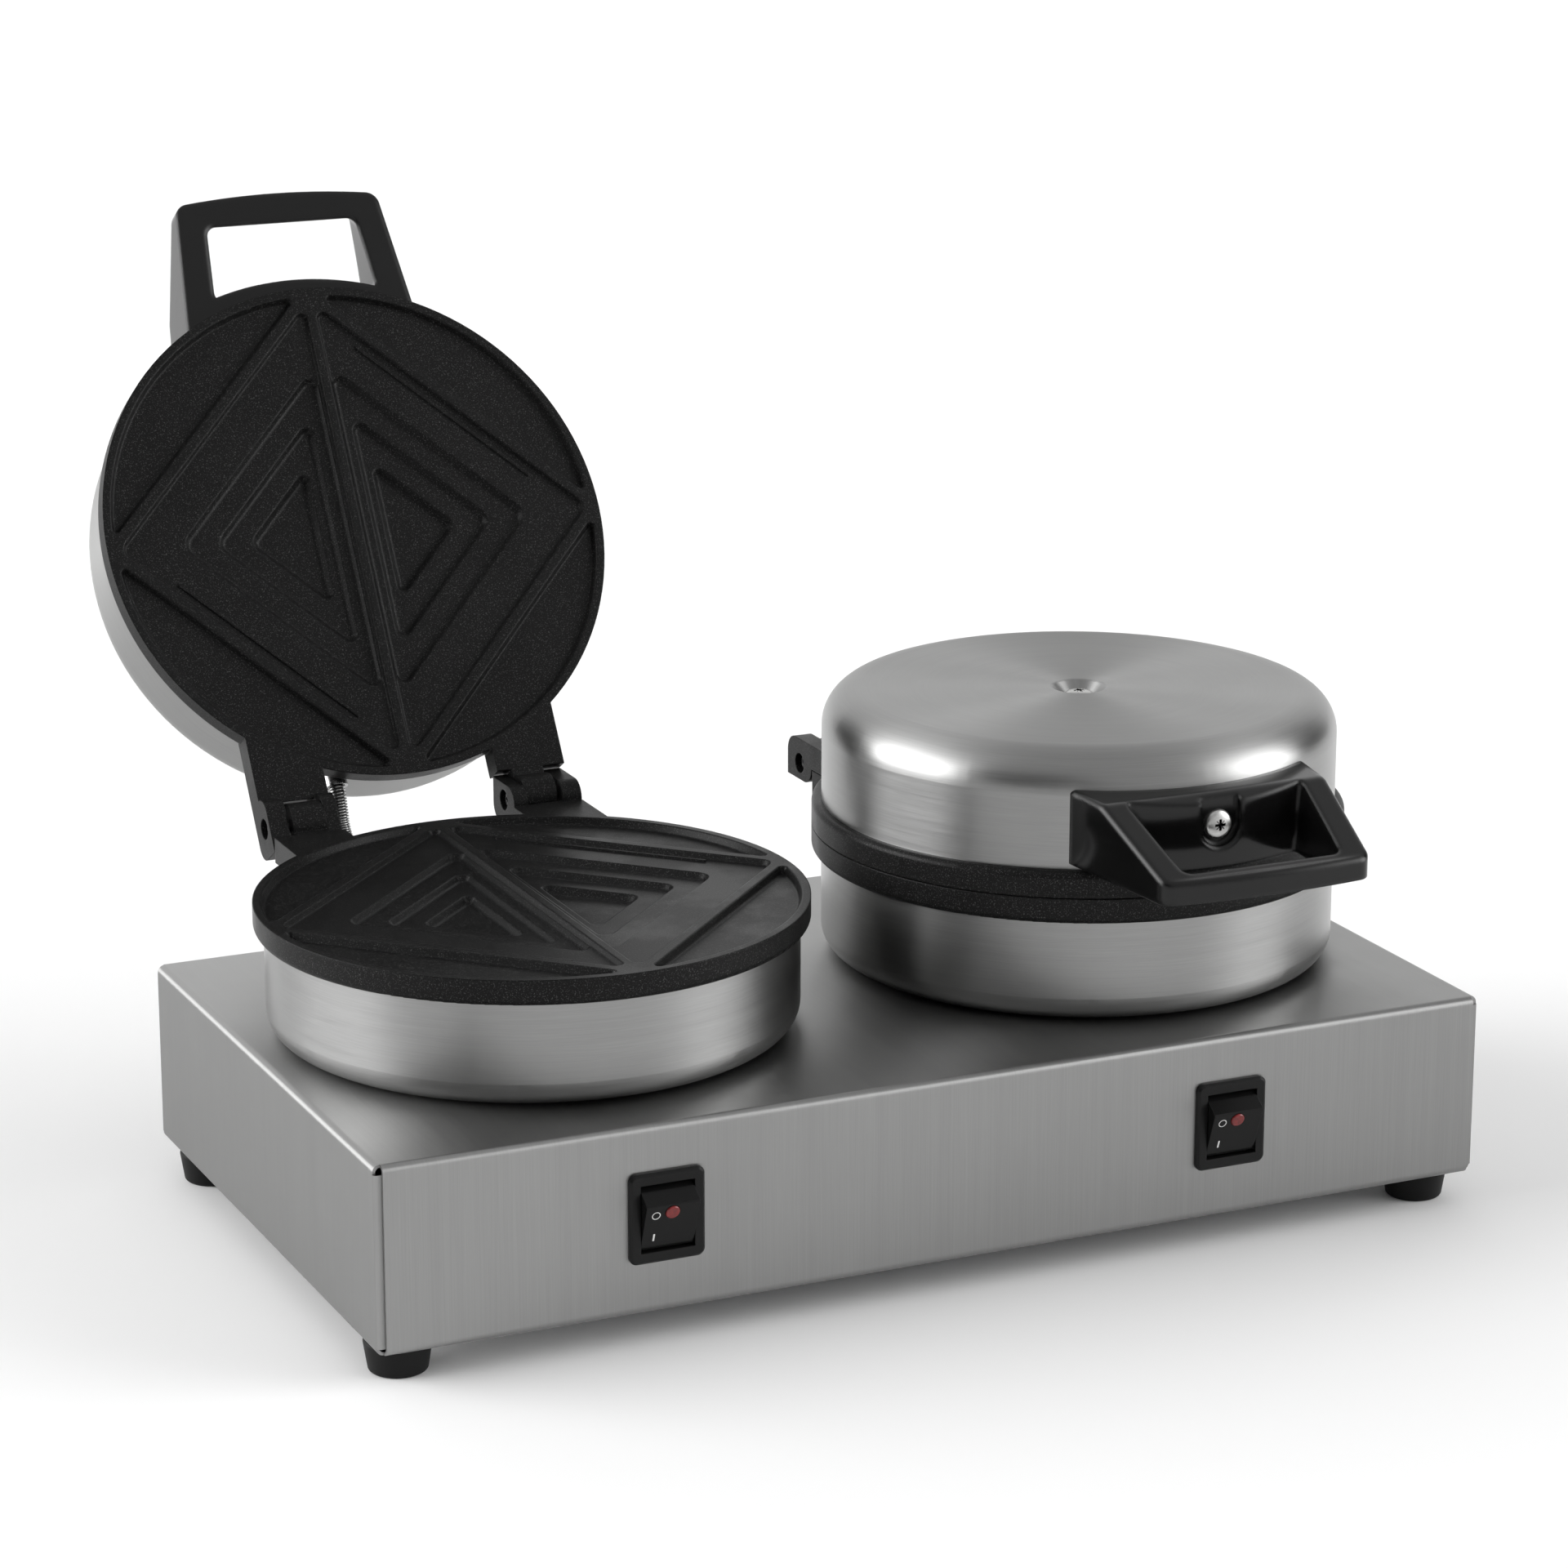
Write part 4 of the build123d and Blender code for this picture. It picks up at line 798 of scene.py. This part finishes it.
conduit = {
    "offset": -0.027,
    "start": (0.1004, 0.1212),
    # Runs from the lower ferrule to the upper one: a length and the degrees that it turns
    "runs": {
        "left": [(0.0270, 0), (0.0204, 73), (0.0078, 0), (0.0043, -15.5), (0.0050, 0)],
        "right": [(0.0095, 0), (0.0534, 180), (0.0095, 0)],
    },
    # Where a hose leaves its ferrules, between which it bends with the lid
    "mouths": {
        "left": ((0.1044, 0.1212), (0.1473, 0.1448)),
        "right": ((0.1044, 0.1212), (0.1044, 0.1552)),
    },
    "coilRadius": 0.0031,
    "wireRadius": 0.00045,
    "pitch": 0.00118,
    "sleeveRadius": 0.0025,
    "step": 0.0005,
}


def conduitPath(side):
    x = layout["heads"][side] + conduit["offset"]
    y, z = conduit["start"]
    heading = 0.0
    points = [(x, y, z)]
    for length, turn in conduit["runs"][side]:
        steps = round(length / conduit["step"])
        for _ in range(steps):
            heading += radians(turn) / steps / 2
            y += length / steps * cos(heading)
            z += length / steps * sin(heading)
            heading += radians(turn) / steps / 2
            points.append((x, y, z))
    mesh = bpy.data.meshes.new("conduitPath")
    mesh.from_pydata(points, [(index, index + 1) for index in range(len(points) - 1)], [])
    return mesh


woundWire = makeWoundWire()
roundSleeve = makeSleeve()
for side in layout["heads"]:
    wire = growMesh(f"woundConduit_{side}", conduitPath(side), woundWire, {
        "Coil Radius": conduit["coilRadius"], "Wire Radius": conduit["wireRadius"],
        "Pitch": conduit["pitch"], "Finish": materials["wire"]})
    sleeve = growMesh(f"wovenSleeve_{side}", conduitPath(side), roundSleeve, {
        "Radius": conduit["sleeveRadius"], "Finish": materials["sleeve"]})
    for mesh, node, slot in (
        (wire, f"conduit_{side}", "conduit"),
        (sleeve, f"conduit_sleeve_{side}", "sleeve"),
    ):
        piece = linkObject(mesh.name, mesh)
        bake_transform(piece)
        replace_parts(piece, node)
    print("conduit", side, len(wire.polygons), "faces of wire")


# Pan-head screw with a four-way recess and fine ticks between its arms, set on each host point;
# sizes are shares of the head's radius, and those of the ticks are shares of the recess's
def makeCrossScrews():
    tree, start, end = newTree(
        "crossScrews", "GeometryNodeTree",
        [("Places", "NodeSocketGeometry", None), ("Head Radius", "NodeSocketFloat", 1.0),
         ("Head Height", "NodeSocketFloat", 0.46), ("Dome Power", "NodeSocketFloat", 0.62),
         ("Shank Radius", "NodeSocketFloat", 0.5), ("Shank Length", "NodeSocketFloat", 2.0),
         ("Shank Overlap", "NodeSocketFloat", 0.02), ("Recess Reach", "NodeSocketFloat", 0.56),
         ("Recess Width", "NodeSocketFloat", 0.26), ("Recess Depth", "NodeSocketFloat", 0.40),
         ("Recess Taper", "NodeSocketFloat", 0.45), ("Tick Reach", "NodeSocketFloat", 0.72),
         ("Tick Width", "NodeSocketFloat", 0.22), ("Tick Depth", "NodeSocketFloat", 0.45),
         ("Crease Angle", "NodeSocketFloat", 0.6), ("Head Segments", "NodeSocketInt", 40),
         ("Head Rings", "NodeSocketInt", 20), ("Shank Sides", "NodeSocketInt", 24),
         ("Finish", "NodeSocketMaterial", None)],
        [("Screws", "NodeSocketGeometry")])
    ball = addNode(tree, "GeometryNodeMeshUVSphere", {
        "Segments": start["Head Segments"], "Rings": start["Head Rings"], "Radius": 1.0}).outputs[0]
    place = addNode(tree, "GeometryNodeInputPosition").outputs[0]
    parts = addNode(tree, "ShaderNodeSeparateXYZ", {0: place}).outputs
    above = mathNode(tree, "MAXIMUM", parts["Z"], 0.0)
    rounded = mathNode(tree, "POWER", above, start["Dome Power"])
    domed = addNode(tree, "ShaderNodeCombineXYZ", {
        0: mathNode(tree, "MULTIPLY", parts["X"], start["Head Radius"]),
        1: mathNode(tree, "MULTIPLY", parts["Y"], start["Head Radius"]),
        2: mathNode(tree, "MULTIPLY", rounded, start["Head Height"]),
    }).outputs[0]
    dome = addNode(tree, "GeometryNodeSetPosition", {"Geometry": ball, "Position": domed}).outputs[0]
    reach = mathNode(tree, "MULTIPLY", start["Recess Reach"], 2.0)
    depth = mathNode(tree, "MULTIPLY", start["Recess Depth"], 2.0)
    size = addNode(tree, "ShaderNodeCombineXYZ", {0: reach, 1: start["Recess Width"], 2: depth}).outputs[0]
    arm = addNode(tree, "GeometryNodeMeshCube", {"Size": size}).outputs[0]
    low = mathNode(tree, "LESS_THAN", parts["Z"], 0.0)
    narrow = addNode(tree, "ShaderNodeMapRange", {0: low, 3: 1.0, 4: start["Recess Taper"]}).outputs[0]
    shaped = addNode(tree, "ShaderNodeCombineXYZ", {
        0: mathNode(tree, "MULTIPLY", parts["X"], narrow),
        1: mathNode(tree, "MULTIPLY", parts["Y"], narrow),
        2: mathNode(tree, "ADD", parts["Z"], start["Head Height"]),
    }).outputs[0]
    blade = addNode(tree, "GeometryNodeSetPosition", {"Geometry": arm, "Position": shaped}).outputs[0]
    crossed = addNode(tree, "GeometryNodeTransform",
                      {"Geometry": blade, "Rotation": (0, 0, pi / 2)}).outputs[0]
    tickSize = addNode(tree, "ShaderNodeCombineXYZ", {
        0: mathNode(tree, "MULTIPLY", reach, start["Tick Reach"]),
        1: mathNode(tree, "MULTIPLY", start["Recess Width"], start["Tick Width"]),
        2: mathNode(tree, "MULTIPLY", start["Recess Depth"], start["Tick Depth"]),
    }).outputs[0]
    tick = addNode(tree, "GeometryNodeMeshCube", {"Size": tickSize}).outputs[0]
    tickRise = addNode(tree, "ShaderNodeCombineXYZ", {2: start["Head Height"]}).outputs[0]
    cutters = [blade, crossed]
    for angle in (pi / 4, -pi / 4):
        turned = addNode(tree, "GeometryNodeTransform",
                         {"Geometry": tick, "Translation": tickRise, "Rotation": (0, 0, angle)}).outputs[0]
        cutters.append(turned)
    head = addNode(tree, "GeometryNodeMeshBoolean", operation="DIFFERENCE", solver="EXACT")
    tree.links.new(dome, head.inputs["Mesh 1"])
    for cutter in cutters:
        tree.links.new(cutter, head.inputs["Mesh 2"])
    shank = addNode(tree, "GeometryNodeMeshCylinder", {
        "Vertices": start["Shank Sides"], "Radius": start["Shank Radius"], "Depth": start["Shank Length"],
    }).outputs[0]
    drop = mathNode(tree, "MULTIPLY", start["Shank Length"], -0.5)
    seat = mathNode(tree, "ADD", drop, start["Shank Overlap"])
    hang = addNode(tree, "ShaderNodeCombineXYZ", {2: seat}).outputs[0]
    hung = addNode(tree, "GeometryNodeTransform", {"Geometry": shank, "Translation": hang}).outputs[0]
    whole = addNode(tree, "GeometryNodeJoinGeometry")
    for part in (head.outputs["Mesh"], hung):
        tree.links.new(part, whole.inputs[0])
    aim = addNode(tree, "GeometryNodeInputNamedAttribute", {"Name": "aim"},
                  data_type="FLOAT_VECTOR").outputs[0]
    turn = addNode(tree, "FunctionNodeAlignRotationToVector", {"Vector": aim}, axis="Z").outputs[0]
    scale = addNode(tree, "GeometryNodeInputNamedAttribute", {"Name": "size"}, data_type="FLOAT").outputs[0]
    spots = addNode(tree, "GeometryNodeInstanceOnPoints", {
        "Points": start["Places"], "Instance": whole.outputs[0], "Rotation": turn, "Scale": scale,
    }).outputs[0]
    real = addNode(tree, "GeometryNodeRealizeInstances", {0: spots}).outputs[0]
    smooth = addNode(tree, "GeometryNodeSetShadeSmooth", {0: real}).outputs[0]
    bend = addNode(tree, "GeometryNodeInputMeshEdgeAngle").outputs[0]
    crease = mathNode(tree, "GREATER_THAN", bend, start["Crease Angle"])
    edged = addNode(tree, "GeometryNodeSetShadeSmooth",
                    {0: smooth, "Selection": crease, "Shade Smooth": False}, domain="EDGE").outputs[0]
    dressed = addNode(tree, "GeometryNodeSetMaterial", {"Geometry": edged, "Material": start["Finish"]})
    tree.links.new(dressed.outputs[0], end["Screws"])
    return tree


screws = {
    "lidHead": 0.0058,
    "lidSeat": 0.0517,
    "handleSeat": (0.113, 0.0290),
    "coverHead": 0.0038,
    "coverLevel": 0.0127,
    "coverPlaces": [
        (0.075, 0.117), (-0.075, 0.117), (0.075, -0.117), (-0.075, -0.117),
        (0.219, 0.050), (0.219, -0.050), (-0.219, 0.050), (-0.219, -0.050),
    ],
}


# Each place is a point, the way that the head looks, and the head's radius
def growScrews(name, places):
    host = bpy.data.meshes.new("places")
    host.from_pydata([place for place, _, _ in places], [], [])
    host.attributes.new("aim", "FLOAT_VECTOR", "POINT")
    host.attributes.new("size", "FLOAT", "POINT")
    for index, (_, aim, size) in enumerate(places):
        host.attributes["aim"].data[index].vector = aim
        host.attributes["size"].data[index].value = size
    return growMesh(name, host, crossScrews, {"Finish": materials["screw"]})


crossScrews = makeCrossScrews()
for side in layout["heads"]:
    lid = lidMatrix(side)
    turn = lid.to_quaternion()
    back, height = screws["handleSeat"]
    mesh = growScrews(f"lidScrews_{side}", [
        (lid @ Vector((0, 0, screws["lidSeat"])), turn @ Vector((0, 0, 1)), screws["lidHead"]),
        (lid @ Vector((0, -back, height)), turn @ Vector((0, -1, 0)), screws["lidHead"]),
    ])
    piece = addPiece(mesh.name, mesh, f"lid_{side}")
    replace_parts(piece, f"lid_screw_{side}", f"handle_screw_{side}")
mesh = growScrews("coverScrews", [
    ((x, y, screws["coverLevel"]), (0, 0, -1), screws["coverHead"]) for x, y in screws["coverPlaces"]
])
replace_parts(addPiece("coverScrews", mesh, "base"), "base_plate_screws")
print("screws: lids, handles and bottom cover")


# Marks on the rockers

marks = {
    # The rocker's upper facet: its top edge, its reach from the pivot and its slope
    "ridge": 0.0067,
    "pivot": -0.1273,
    "centreHeight": 0.0512,
    "proudTop": 0.0085,
    "slope": 0.3627,
    "lift": 0.00003,
    "sink": 0.00012,
    "ringOffset": -0.0064,
    "ringDrop": 0.0041,
    "ringRadius": 0.0017,
    "ringWidth": 0.00033,
    "ringSides": 40,
    "barOffset": -0.0060,
    "barDrop": 0.0138,
    "barLength": 0.0033,
    "barWidth": 0.0007,
    "barCorner": 0.35,
}


def facetMatrix(side, across, drop):
    tilt = Vector((0, -1, -marks["slope"])).normalized()
    up = Vector((0, -marks["slope"], 1)).normalized()
    rows = Matrix((Vector((1, 0, 0)), up, tilt)).transposed().to_4x4()
    place = Vector((
        layout["heads"][side] + across,
        marks["pivot"] - marks["proudTop"] + drop * marks["slope"],
        marks["centreHeight"] + marks["ridge"] - drop,
    ))
    return Matrix.Translation(place) @ rows


# A flat form between two levels, of one outline or of an outer and an inner one
def extrudeOutline(form, loops):
    rings = []
    for level in (-marks["sink"], marks["lift"]):
        rings.append([[form.verts.new((x, y, level)) for x, y in loop] for loop in loops])
    bottom, top = rings
    for lower, upper in zip(bottom, top):
        count = len(lower)
        for index in range(count):
            after = (index + 1) % count
            form.faces.new((lower[index], lower[after], upper[after], upper[index]))
    for loopSet in (bottom, top):
        if len(loopSet) == 1:
            form.faces.new(loopSet[0])
        else:
            outer, inner = loopSet
            for index in range(len(outer)):
                after = (index + 1) % len(outer)
                form.faces.new((outer[index], outer[after], inner[after], inner[index]))


def ringLoops():
    turns = [2 * pi * index / marks["ringSides"] for index in range(marks["ringSides"])]
    radii = (marks["ringRadius"], marks["ringRadius"] - marks["ringWidth"])
    return [[(cos(turn) * radius, sin(turn) * radius) for turn in turns] for radius in radii]


def barLoop():
    half = marks["barWidth"] / 2
    tall = marks["barLength"] / 2
    corner = half * marks["barCorner"]
    return [
        (half - corner, -tall), (half, corner - tall), (half, tall - corner), (half - corner, tall),
        (corner - half, tall), (-half, tall - corner), (-half, corner - tall), (corner - half, -tall),
    ]


for side in layout["heads"]:
    form = bmesh.new()
    extrudeOutline(form, ringLoops())
    ringPlace = facetMatrix(side, marks["ringOffset"], marks["ringDrop"])
    bmesh.ops.transform(form, matrix=ringPlace, verts=form.verts)
    ringVerts = set(form.verts)
    extrudeOutline(form, [barLoop()])
    barVerts = [vert for vert in form.verts if vert not in ringVerts]
    barPlace = facetMatrix(side, marks["barOffset"], marks["barDrop"])
    bmesh.ops.transform(form, matrix=barPlace, verts=barVerts)
    bmesh.ops.recalc_face_normals(form, faces=form.faces)
    mesh = bpy.data.meshes.new(f"rockerMarks_{side}")
    form.to_mesh(mesh)
    form.free()
    mesh.materials.append(materials["mark"])
    addPiece(mesh.name, mesh, f"button_{side}")
print("marks: rings and bars on the rockers")
